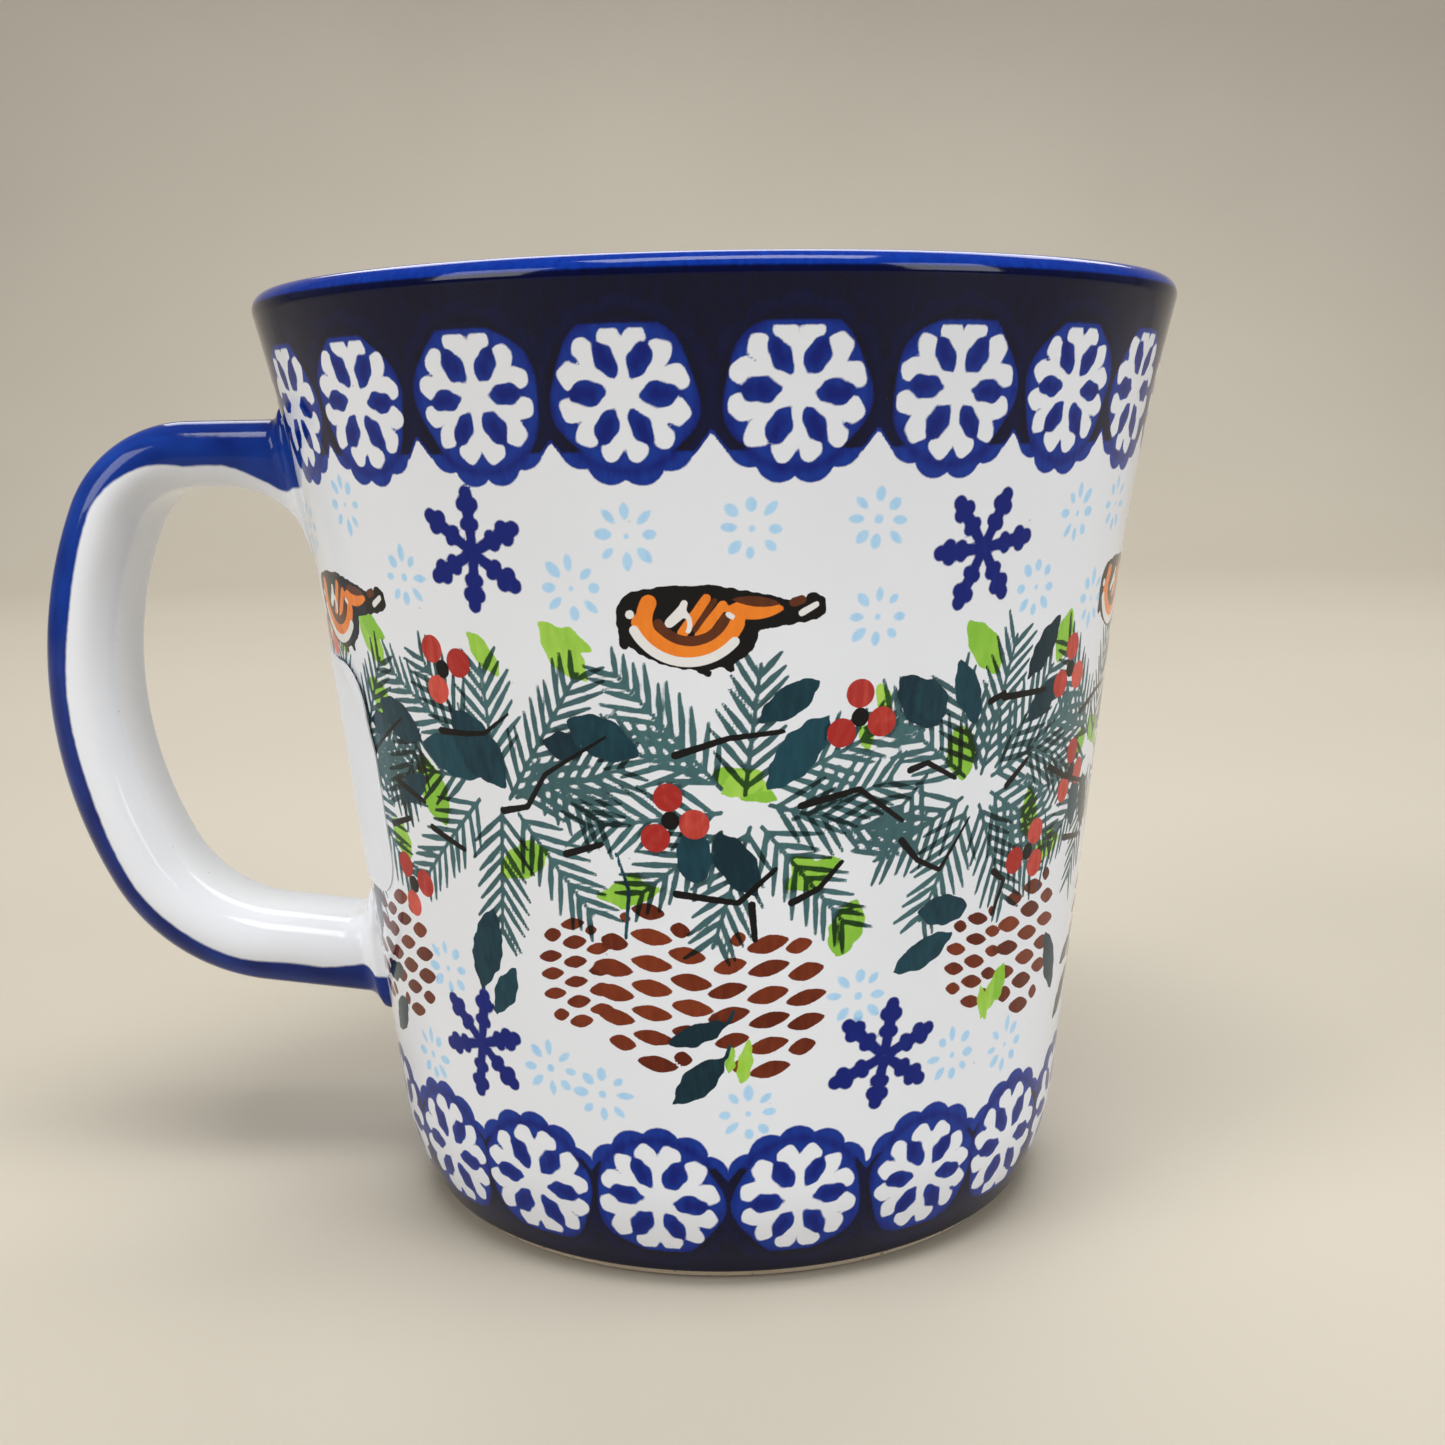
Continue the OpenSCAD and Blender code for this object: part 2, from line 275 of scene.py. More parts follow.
# What is painted: how much of each ink covers each grid point, and how loaded the brush was.
INKS = ("pale", "cone", "lime", "needle_a", "needle_b", "leaf", "berry", "black",
        "cobalt", "deep", "orange", "white", "load", "brown")
paint = {ink: np.zeros((len(row_z), ALL_COLUMNS)) for ink in INKS}
rng = np.random.default_rng(11)


def patch(at, up, reach):
    """Grid points within reach mm of a place, and how far right and up of it each one lies."""
    rows = np.flatnonzero(np.abs(row_z - up) < reach)
    half = reach / (wall_r(up) * DEGREE)
    columns = np.arange(math.floor((at - half) / STEP), math.ceil((at + half) / STEP) + 1)
    right = ((columns * STEP - at) * DEGREE)[None, :] * row_r[rows][:, None]
    raised = np.broadcast_to(row_z[rows][:, None] - up, right.shape)
    return np.ix_(rows, columns % ALL_COLUMNS), right, raised


def lay(ink, spot, gap, load=None):
    """Lays an ink where gap, the mm outside a stroke's edge, is below 0, with a ramp across it."""
    cover = np.clip(0.5 - gap / EDGE, 0, 1)
    paint[ink][spot] = np.maximum(paint[ink][spot], cover)
    if load is not None:
        paint["load"][spot] = np.where(cover > 0.1, load, paint["load"][spot])


def wipe(ink, spot, gap):
    """Takes an ink away where gap is below 0."""
    paint[ink][spot] = np.minimum(paint[ink][spot], np.clip(0.5 + gap / EDGE, 0, 1))


def bar(x, y, start, end, r_start, r_end=None):
    """Distance outside a round-ended bar: from the nearest point of its middle line, less r."""
    r_end = r_start if r_end is None else r_end
    dx, dy = end[0] - start[0], end[1] - start[1]
    share = np.clip(((x - start[0]) * dx + (y - start[1]) * dy) / (dx * dx + dy * dy), 0, 1)
    return (np.hypot(x - start[0] - share * dx, y - start[1] - share * dy)
            - r_start - (r_end - r_start) * share)


def lens(x, y, start, end, width):
    """Distance outside a pointed leaf from start to end, where two equal circles overlap."""
    dx, dy = end[0] - start[0], end[1] - start[1]
    length = math.hypot(dx, dy)
    u = ((x - start[0]) * dx + (y - start[1]) * dy) / length - length / 2
    v = ((y - start[1]) * dx - (x - start[0]) * dy) / length
    circle_r = (length ** 2 / 4 + width ** 2 / 4) / width
    return np.hypot(u, np.abs(v) + circle_r - width / 2) - circle_r


def oval(x, y, middle, half_x, half_y):
    """Distance outside an upright oval, near enough: its own scale times its slope."""
    u, v = x - middle[0], y - middle[1]
    scaled = np.hypot(u / half_x, v / half_y) + 1e-9
    return scaled * (scaled - 1) / (np.hypot(u / half_x ** 2, v / half_y ** 2) + 1e-9)


def between(first, last, room=0.0):
    """A patch that holds both places, and the two places in its own mm."""
    at, up = (first[0] + last[0]) / 2, (first[1] + last[1]) / 2
    k = DEGREE * wall_r(up)
    start = ((first[0] - at) * k, first[1] - up)
    end = ((last[0] - at) * k, last[1] - up)
    spot, x, y = patch(at, up, math.hypot(end[0], end[1]) + room + EDGE)
    return spot, x, y, start, end


def stroke(ink, places, widths, load=None):
    """A brush stroke through places, each a turn in degrees and a height, with its widths."""
    for first, last, w_first, w_last in zip(places, places[1:], widths, widths[1:]):
        spot, x, y, start, end = between(first, last, max(w_first, w_last))
        lay(ink, spot, bar(x, y, start, end, w_first / 2, w_last / 2), load)


def brushed_leaf(ink, foot, tip, width):
    """A leaf in one press of the brush, its edge waved by 0.15 mm."""
    spot, x, y, start, end = between(foot, tip, width)
    wave = 0.15 * np.sin(2.3 * x + 1.7 * y + foot[0]) * np.sin(1.9 * y - x + foot[1])
    lay(ink, spot, lens(x, y, start, end, width) + wave, rng.uniform(0.2, 0.9))


def shifted(places, by):
    """The same places moved round the cup by some degrees."""
    return [(at + by, up) for at, up in places]


# The garland has eleven bunches. The first three differ, and the other eight repeat them: each
# has its turn in degrees and the number of the one that it repeats.
BUNCHES = (-30.0, 3.0, 35.0)
MORE_BUNCHES = ((67.8, 1), (100.6, 0), (133.3, 2), (166.0, 1),
                (199.0, 0), (231.7, 2), (264.4, 1), (297.2, 0))
BUNCH_HALF = 17.5
# Five birds sit round the cup, and what lies above and below the garland goes with them. The
# front, between these two turns, has its own.
BIRDS = (0.0, 73.0, 148.0, 224.0, 301.0)
BIRD_HALF, FRONT_LEFT, FRONT_RIGHT = 37, -60, 64


def with_bunches(at):
    """The turns to add to something in the garland, so that it shows in each bunch like its own."""
    own = min(range(3), key=lambda i: abs(at - BUNCHES[i]))
    near = abs(at - BUNCHES[own]) < BUNCH_HALF
    return [0.0] + [turn - BUNCHES[own] for turn, kind in MORE_BUNCHES if near and kind == own]


def with_birds(at):
    """The turns to add to something near the first bird, so that it shows near each of them."""
    return [0.0] + [bird for bird in BIRDS[1:] if abs(at) < BIRD_HALF
                    and not FRONT_LEFT < (at + bird + 180) % 360 - 180 < FRONT_RIGHT]


GARLAND_LOW_Z = 34                        # what starts above this goes with its bunch


def repeats(foot, tip):
    """The turns to add to a leaf: with its bunch in the garland, with its bird under it."""
    return (with_bunches if foot[1] > GARLAND_LOW_Z else with_birds)((foot[0] + tip[0]) / 2)


# Light blue snow: eight short dabs and a dot, thinly loaded. Each has its turn and height.
SNOW = ((-52, 75.5), (-41.5, 69), (-17, 68.5), (-10, 73), (4, 73.5), (18.5, 74), (19, 65.5),
        (50, 73.5), (43, 67), (62, 74), (58, 65), (-44, 30.5), (-26, 22.5), (-18, 20.5), (-52, 20),
        (3, 19), (18.5, 30), (35, 22), (47, 21))
for at, up in SNOW:
    for by in with_birds(at):
        spot, x, y = patch(at + by, up, 4)
        lay("pale", spot, np.hypot(x, y) - rng.uniform(0.22, 0.42))
        for k in range(8):
            turn = (k + rng.uniform(-0.12, 0.12)) * math.pi / 4
            inner, outer = rng.uniform(1.3, 1.7), rng.uniform(2.5, 3.1)
            lay("pale", spot, lens(x, y, (inner * math.cos(turn), inner * math.sin(turn)),
                                   (outer * math.cos(turn), outer * math.sin(turn)),
                                   rng.uniform(0.5, 0.85)) - 0.08)

# Cobalt snowflakes: six arms that thicken outwards, with two pairs of buds on each.
for at, up, lean in ((-29.5, 71.5, 0.45), (33, 71, 0.1), (-38.5, 23.5, 0.25), (23, 23.5, 0.35)):
    for by in with_birds(at):
        spot, x, y = patch(at + by, up, 7.5)
        for k in range(6):
            turn = lean + k * math.pi / 3 + rng.uniform(-0.06, 0.06)
            u, v = x * math.cos(turn) + y * math.sin(turn), np.abs(y * math.cos(turn)
                                                                   - x * math.sin(turn))
            far = rng.uniform(4.7, 5.4)
            lay("cobalt", spot, bar(u, v, (0.5, 0), (far, 0), 0.5, 0.72), 0.85)
            lay("cobalt", spot, np.hypot(u - 2.5, v - 0.42) - 0.62, 0.85)
            lay("cobalt", spot, np.hypot(u - far + 0.95, v - 0.5) - 0.72, 0.85)

# Pine cones: files of slanted scales in an oval, every second file set up by half a scale. A scale
# is where its share of its width and of its height, each to the power 1.5, add to under 1. Each
# cone has its turn, height, width, length, scale width and slant.
CONES = ((-20.5, 32.4, 8.2, 10.8, 2.5, 0.2), (-9.8, 31.2, 11.4, 15.8, 3.9, -0.16),
         (5.8, 30.2, 11.2, 15.2, 3.9, 0.22), (37.6, 31.7, 7.6, 10.8, 2.9, -0.25),
         (50, 31.6, 11.2, 15.2, 3.8, -0.16), (-55, 30.5, 10.4, 13.8, 3.6, 0.2))
for at, up, wide, tall, scale, slant in CONES:
    for by in with_birds(at):
        spot, x, y = patch(at + by, up, max(wide, tall) / 2 + 2.5)
        files = math.ceil(wide / scale / 2) + 1
        for file, step in [(a, b) for a in range(-files, files + 1) for b in range(-1, 8)]:
            mid_x = file * scale * 0.96 + rng.uniform(-0.2, 0.2)
            mid_y = ((step + 0.5 * (file % 2)) * (0.95 + scale * 0.4) - tall / 2 + 0.8
                     + slant * mid_x + rng.uniform(-0.12, 0.12))
            room = wide / 2 * math.sqrt(max(0, 1 - (mid_y / (tall / 2 + 0.3)) ** 2))
            left, right = max(mid_x - scale / 2, -room), min(mid_x + scale / 2, room)
            if right - left < 1.0 or abs(mid_y) > tall / 2:
                continue
            across_scale = x - (left + right) / 2
            over = y - mid_y - 0.9 * slant * across_scale
            high = min(0.27 + scale * 0.14, 0.3 * (right - left) + 0.2) + rng.uniform(-0.06, 0.08)
            bulge = (np.abs(across_scale / ((right - left) / 2)) ** 1.5
                     + np.abs(over / high) ** 1.5) ** (1 / 1.5)
            lay("cone", spot, (bulge - 1) * high, rng.uniform(0.2, 0.9))

# Light green leaves, under the pine: foot, tip and width.
LIMES = (((-54, 59), (-48, 54.5), 3), ((-43.5, 52), (-40, 45.5), 4),
         ((-32, 64.4), (-27.8, 60.4), 2.1), ((-21.6, 65.6), (-16, 60.3), 3),
         ((-20.5, 65), (-15.2, 63), 2), ((-31.2, 41.6), (-23, 44.4), 3),
         ((-26.5, 41.8), (-25.5, 45.4), 2.6), ((-16.5, 40.3), (-8, 41.2), 2.4),
         ((-13.5, 39.2), (-10.8, 42.8), 2), ((-1.2, 52.4), (7, 49.4), 2.6),
         ((0, 50.2), (5.5, 52), 2), ((8, 41), (15.4, 43.6), 2.4), ((9.2, 44.2), (12.8, 40.6), 2.6),
         ((17.8, 39.6), (15, 34), 3.2), ((19.5, 59.6), (21.2, 56.6), 1.5),
         ((17.8, 56), (18.6, 53.4), 1.3), ((31.8, 64.6), (37.8, 59.4), 3.2),
         ((31.6, 55), (33, 49.6), 3.4), ((52.2, 64.4), (50, 59.4), 3),
         ((46.4, 47.6), (47.2, 42.4), 2.6), ((44.6, 30.2), (40.4, 25), 2),
         ((44.4, 30), (43.6, 26.2), 1.5), ((39.6, 28.4), (41.4, 24.6), 1.4),
         ((0.9, 26), (0.3, 22.8), 0.9), ((3.2, 26.4), (1.9, 21.8), 1.4),
         ((58, 50.4), (63.4, 50.6), 2.6), ((-53, 45), (-49.6, 41), 3))
for foot, tip, width in LIMES:
    for by in repeats(foot, tip):
        brushed_leaf("lime", *shifted((foot, tip), by), width)

# Pine: sprigs from foot to tip with needles in pairs, drawn in one or other of two thin washes, so
# that where two sprigs cross they darken each other.
SPRIGS = (((-28, 49), (-17, 61)), ((-30, 51), (-30.5, 61.5)), ((-27, 49.2), (-12, 52.4)),
          ((-27, 47.6), (-17.5, 38.5)), ((-29.5, 48), (-31.8, 35.5)), ((-33, 48.6), (-45.5, 40)),
          ((-34, 50.6), (-53, 50.8)), ((-33, 53), (-47.5, 60)), ((-34, 55), (-40.5, 61.6)),
          ((0, 50.6), (-12.2, 60.8)), ((3, 50), (5, 61.8)), ((6, 50.6), (23.5, 56.4)),
          ((6, 49), (24.5, 45.2)), ((5, 47), (16, 37.4)), ((3.6, 47), (-1.4, 35.6)),
          ((0, 48.4), (-17, 47)), ((0, 46.6), (-10.5, 40.8)), ((-2, 51.4), (-12.5, 54.6)),
          ((36, 50), (40.4, 62.8)), ((38, 49.6), (55.5, 54)), ((38.6, 50.4), (49, 59.4)),
          ((38, 48), (54, 41.4)), ((36, 47), (42.6, 37)), ((34, 47), (27.4, 36.6)),
          ((33, 48), (20, 43)), ((33, 50), (20, 57.4)), ((35, 50.6), (30.6, 58.8)),
          ((38, 46.6), (49, 38.6)), ((-24, 52.5), (-15, 47)), ((9, 47.6), (22, 50.6)),
          ((27, 50.6), (21, 46)), ((-43, 54), (-50, 46.5)), ((44, 52), (57, 48.2)))
NEEDLE_STEP = 1.42                        # mm between needles along a stem
for count, (foot, tip) in enumerate(SPRIGS):
    for by in with_bunches((foot[0] + tip[0]) / 2):
        ink = "needle_a" if count % 2 else "needle_b"
        k = DEGREE * wall_r((foot[1] + tip[1]) / 2)
        length = math.hypot((tip[0] - foot[0]) * k, tip[1] - foot[1])
        aim = math.atan2(tip[1] - foot[1], (tip[0] - foot[0]) * k)
        stroke(ink, shifted((foot, tip), by), (0.42, 0.34))
        for pair in range(round(length / NEEDLE_STEP)):
            share = (pair + 0.5) * NEEDLE_STEP / length
            root = (foot[0] + (tip[0] - foot[0]) * share + by, foot[1] + (tip[1] - foot[1]) * share)
            for side in (-1, 1):
                turn = aim + side * (rng.uniform(0.74, 0.86) - 0.2 * share)
                reach = rng.uniform(3.9, 5.2) * (1 - 0.35 * share ** 3)
                end = (root[0] + reach * math.cos(turn) / k, root[1] + reach * math.sin(turn))
                mid = ((root[0] + end[0]) / 2 + rng.uniform(-0.1, 0.1), (root[1] + end[1]) / 2
                       + rng.uniform(-0.1, 0.1))
                stroke(ink, (root, mid, end), (0.4, rng.uniform(0.54, 0.66), 0.3))

# Dark teal leaves, and the stalks of the lower ones.
LEAVES = (((-42.5, 53.4), (-30.5, 51.6), 4.2), ((-36, 57), (-28.6, 50), 4.4),
          ((-22.4, 54.6), (-17, 54), 2.6), ((-19, 56.8), (-10, 53.6), 3.6),
          ((4.8, 56.6), (12.2, 60.2), 2.8), ((13.4, 57), (5.8, 50.4), 3.6),
          ((-3.8, 47), (-3.4, 41.6), 3.2), ((-0.6, 46.6), (4.2, 40.6), 3.4),
          ((22.4, 60), (28.4, 55.2), 3.8), ((25.4, 59.6), (28.8, 55.8), 3),
          ((30.8, 61), (34.6, 54.8), 2.8), ((43.4, 58.4), (49.4, 64), 2.8),
          ((44, 54.4), (51, 57.8), 2.8), ((26.8, 37.4), (35.6, 37), 3),
          ((23.4, 31.8), (33.2, 34.8), 2.8), ((-33, 38), (-37, 29.4), 3.6),
          ((-30.2, 32.2), (-34.6, 27.2), 2.4), ((-8, 26), (0.4, 28.2), 2.1),
          ((0, 24.8), (-7.6, 20), 2.9), ((56, 31.5), (62, 24), 2.8), ((-50, 47), (-43, 50), 2.6))
for foot, tip, width in LEAVES:
    for by in repeats(foot, tip):
        brushed_leaf("leaf", *shifted((foot, tip), by), width)
STALKS = (((-37, 30), (-36, 28.4), (-34.6, 27.2)), ((0.4, 28.2), (1.2, 29.4)),
          ((0, 24.8), (0.6, 26)))
for places in STALKS:
    for by in with_birds(places[0][0]):
        stroke("leaf", shifted(places, by), (0.4, 0.3, 0.35))

# Berries in threes, dabbed with a round brush, with a black dot between: turn, height, and the
# angle of the first berry.
BERRIES = ((-36.8, 60.7, 120), (17.3, 56.6, 92), (-6.4, 47.7, 98), (53.8, 58.5, 88),
           (47.5, 41.0, 60), (-49.8, 38.4, 122))
BERRY_OFF = 2.15                          # from the dot's middle to a berry's
for at, up, spin in BERRIES:
    for by in with_bunches(at):
        spot, x, y = patch(at + by, up, 5)
        lay("black", spot, np.hypot(x, y * 0.95) - 0.83)
        for turn, size in ((spin, 1.32), (spin - 106, 1.38), (spin + 130, 1.34)):
            a = math.radians(turn + rng.uniform(-6, 6))
            off = np.hypot(x - BERRY_OFF * math.cos(a), y - BERRY_OFF * math.sin(a))
            lay("berry", spot, off - size, rng.uniform(0.1, 1.0))

# Bare twigs in black, pressed at one end and lifted at the other.
TWIGS = (((-38.5, 54.8), (-34, 54.8), (-31, 55), (-27, 57)),
         ((-29.3, 47.8), (-25.5, 48.4), (-22.5, 51.6), (-14, 55.3)),
         ((-5.5, 53.7), (1, 55.2), (7.7, 55.7)), ((-20.5, 44.2), (-15.5, 45.3)),
         ((10, 48.8), (17.5, 50), (23.7, 46.6)), ((-6, 40.8), (2, 39.9), (6.8, 43)),
         ((3.7, 39.7), (4.1, 36.3)), ((8.9, 39.7), (12.5, 40.9), (15.5, 43.3)),
         ((24.5, 51.3), (27, 51.8), (31.5, 50)),
         ((23.8, 44.7), (26.4, 42.6), (30, 41.3), (34.5, 46)), ((36.5, 56.8), (39, 57.4)),
         ((39, 57), (47.5, 57)), ((41, 48.3), (45, 50.5)), ((40, 40), (42.5, 38.8), (40.6, 35.6)),
         ((51, 49), (56, 47.5), (64, 46)), ((-50, 49), (-44, 47.4)), ((-43, 45), (-37, 43.4)))
TWIG_WIDTHS = (0.72, 0.55, 0.45, 0.25)
for places in TWIGS:
    for by in with_bunches(sum(at for at, up in places) / len(places)):
        stroke("black", shifted(places, by), TWIG_WIDTHS[:len(places)])
STEM = ((-13.6, 44.5), (-12.2, 41), (-13, 36.4))
for by in with_bunches(STEM[2][0]):
    stroke("leaf", shifted(STEM, by), (0.3, 0.4, 0.3))


def crescent(x, y, middle, r, start, end, half):
    """Distance outside a round-ended band along a circle, between two angles in degrees."""
    low, high = math.radians(start), math.radians(end)
    centre = (low + high) / 2
    turn = np.arctan2(y - middle[1], x - middle[0])
    turn = (turn - centre + math.pi) % (2 * math.pi) - math.pi + centre
    turn = np.clip(turn, low, high)
    return np.hypot(x - middle[0] - r * np.cos(turn), y - middle[1] - r * np.sin(turn)) - half


# The bird: a plain plump one of ovals, bars and crescents, with a black coat, an orange breast
# edged white, brown shading, and two orange feathers beside a white one on its wing.
for by in BIRDS:
    spot, x, y = patch(0.5 + by, 65.1, 11)
    shape = np.minimum.reduce([
        oval(x, y + 0.1 * x, (-3.0, -0.35), 6.1, 3.65),                   # body
        np.hypot(x + 6.8, y - 0.9) - 2.4,                                 # head
        bar(x, y, (-6.0, 2.1), (-1.0, 2.5), 1.2),                         # back
        bar(x, y, (-1.0, 2.5), (4.6, 1.9), 1.2, 0.7),
        bar(x, y, (-8.55, -0.4), (-8.5, -1.5), 0.5, 0.42),                # beak
        bar(x, y, (1.6, 0.9), (7.4, 1.25), 1.5, 0.95),                    # tail
        crescent(x, y, (7.9, 1.6), 0.75, -200, 110, 0.45),
        bar(x, y, (0.3, -3.0), (0.8, -3.75), 0.5, 0.3),                   # feet
        bar(x, y, (-1.8, -3.7), (-1.1, -4.2), 0.4, 0.2)])
    lay("black", spot, shape + 0.08 * np.sin(5 * x) * np.sin(4 * y + 1))
    lay("white", spot, crescent(x, y, (-2.9, 2.3), 5.35, 208, 318, 0.42))
    lay("orange", spot, crescent(x, y, (-2.9, 2.3), 4.55, 204, 334, 0.78))
    lay("orange", spot, crescent(x, y, (-3.6, 0.6), 3.1, 150, 205, 0.72))
    lay("brown", spot, crescent(x, y, (-2.7, 2.1), 3.3, 212, 338, 0.44))
    wipe("brown", spot, np.hypot(x + 3.6, y - 0.2) - 0.6)
    for start, end in (((-3.4, -0.5), (-1.3, 2.5)), ((-1.9, -0.7), (0.1, 1.9))):
        lay("orange", spot, bar(x, y, start, end, 0.46, 0.4))
    lay("brown", spot, bar(x, y, (-2.3, -0.2), (-0.6, 2.3), 0.24))
    lay("white", spot, bar(x, y, (-4.5, 0.4), (-3.5, 1.3), 0.42, 0.5))
    lay("white", spot, bar(x, y, (-3.5, 1.3), (-3.2, 2.1), 0.4, 0.3))
    lay("white", spot, crescent(x, y, (-4.1, 0.3), 1.35, -28, 52, 0.22))
    lay("orange", spot, lens(x, y, (0.4, 1.5), (5.2, 1.5), 1.5) - 0.15)
    lay("brown", spot, lens(x, y, (0.8, 2.4), (5.2, 1.9), 0.9))
    lay("brown", spot, bar(x, y, (6.2, 2.0), (6.9, 2.2), 0.4))
    lay("white", spot, bar(x, y, (6.9, 1.05), (8.2, 1.75), 0.3, 0.26))
    lay("white", spot, bar(x, y, (0.55, 1.1), (0.9, 0.85), 0.24))
    lay("white", spot, np.hypot(x + 7.95, y - 1.15) - 0.4)

# Two borders of stamped medallions: a scalloped cobalt disc with a six-armed white star kept
# clear, near-black between the discs, and a solid band beyond them.
UPPER_DISC_Z, LOWER_DISC_Z = 84.8, 9.8
BAND_TOP_Z, BAND_LOW_Z, NOTCH_TOP_Z, NOTCH_LOW_Z, LINE_Z = 90.0, 4.3, 80.9, 13.0, 94.7
BESIDE_DISC, PEAK = 5.7, 1.3              # mm from a disc's middle, and the peak's steepness
DISC_R, SCALLOP, SCALLOPS = 6.95, 0.75, 13
SIXTH = math.pi / 3


def evenly(turns):
    """These turns, and twelve more that share out the rest of the circle after them."""
    gap = (turns[0] + 360 - turns[-1]) / 13
    return turns + tuple(turns[-1] + gap * k for k in range(1, 13))


upper_turns = evenly((-61, -44, -26.2, -9.3, 8.8, 26.8, 44, 61))
lower_turns = evenly((-50.5, -31, -10.6, 10.5, 31.5, 51))
everywhere = (slice(None), slice(None))
height = np.repeat(row_z[:, None], ALL_COLUMNS, axis=1)


def beside(turns, z):
    """For each column, the mm round the wall at height z that it lies outside the nearest disc."""
    apart = (np.arange(ALL_COLUMNS) * STEP - np.array(turns)[:, None] + 180) % 360 - 180
    return np.clip(np.abs(apart).min(axis=0) * DEGREE * wall_r(z) - BESIDE_DISC, 0, 2)[None, :]


# The ground between two discs ends in a peak.
upper_ground = NOTCH_TOP_Z - 1.2 + PEAK * beside(upper_turns, NOTCH_TOP_Z) - height
lower_ground = height - NOTCH_LOW_Z - 1.1 + PEAK * beside(lower_turns, NOTCH_LOW_Z)
lay("cobalt", everywhere, np.minimum(upper_ground, lower_ground), 0.6)
lay("deep", everywhere, np.minimum(upper_ground + 0.35, lower_ground + 0.7))
stars = []
for at, up in ([(at, UPPER_DISC_Z) for at in upper_turns]
               + [(at, LOWER_DISC_Z) for at in lower_turns]):
    spot, x, y = patch(at, up, 10)
    lean = rng.uniform(-0.16, 0.16) + math.pi / 2
    turn, far = np.arctan2(y, x), np.hypot(x, y)
    scallops = DISC_R + SCALLOP * np.abs(np.cos(SCALLOPS / 2 * (turn - lean))) ** 0.7
    reach = rng.uniform(0.93, 1.0)
    # The star is folded into one sixth: u runs along the nearest arm and v away from it.
    fold = (turn - lean + 0.05 * np.sin(2 * turn + at) + SIXTH / 2) % SIXTH - SIXTH / 2
    u, v = far * np.cos(fold) / reach, np.abs(far * np.sin(fold)) / reach
    arms = np.minimum.reduce([bar(u, v, (0, 0), (4.0, 0), 0.62, 0.5), far - 1.45,
                              bar(u, v, (3.3, 0.3), (4.85, 1.24), 0.72, 1.08)])
    petal_u = far * np.cos(SIXTH / 2 - np.abs(fold)) / reach
    petal_v = far * np.sin(SIXTH / 2 - np.abs(fold)) / reach
    petal = np.minimum(lens(petal_u, petal_v, (1.45, 0), (5.1, 0), 2.15),
                       bar(petal_u, petal_v, (4.6, 0), (6.4, 0), 0.22))
    uneven_edge = 0.14 * np.sin(3.1 * x + at) * np.sin(2.7 * y - at)
    star = np.maximum.reduce([arms, -petal, 0.62 - np.hypot(u - 6.15, v)]) + uneven_edge
    vein = np.clip(1.15 - petal_v / 0.9, 0, 1) * np.clip(1.7 - np.abs(far - 3.4), 0, 1)
    ring = np.clip(1 - np.abs(far - 6.35) / 0.7, 0, 1)
    lay("cobalt", spot, far - scallops, 0.25 + 0.6 * vein + 0.5 * ring)
    wipe("deep", spot, far - 6.25 - 0.25 * np.sin(5 * turn + at))
    # The band beyond hides what a star would have outside the border.
    into_band = np.maximum(up + y - BAND_TOP_Z, BAND_LOW_Z - up - y)
    stars.append((spot, np.maximum(star, into_band)))
for spot, star in stars:
    wipe("cobalt", spot, star)
    wipe("deep", spot, star)
lay("deep", everywhere, np.minimum(BAND_TOP_Z + 0.4 - height, height - BAND_LOW_Z + 0.4))
# The top of the lip is a brushed cobalt line, which the near-black stops short of.
wipe("deep", everywhere, LINE_Z - height)
paint["load"][:] = np.where(height > LINE_Z - 0.7, 0.35, paint["load"])

# Each coverage goes to the mesh as one channel of a colour attribute.
ATTRIBUTES = tuple(INKS[k:k + 4] for k in range(0, len(INKS), 4))
back_r, back_z = outer_profile(GLAZE_T)
slope_r, slope_z = np.gradient(row_r), np.gradient(row_z)
steep = np.hypot(slope_r, slope_z)


def turned(radius, z, degrees):
    """Points from radius and height by turn: turn 0 is the front, and it grows to the right."""
    a = np.radians(degrees)[None, :]
    return np.stack(np.broadcast_arrays(radius[:, None] * np.sin(a), -radius[:, None] * np.cos(a),
                                        z[:, None]), axis=-1)


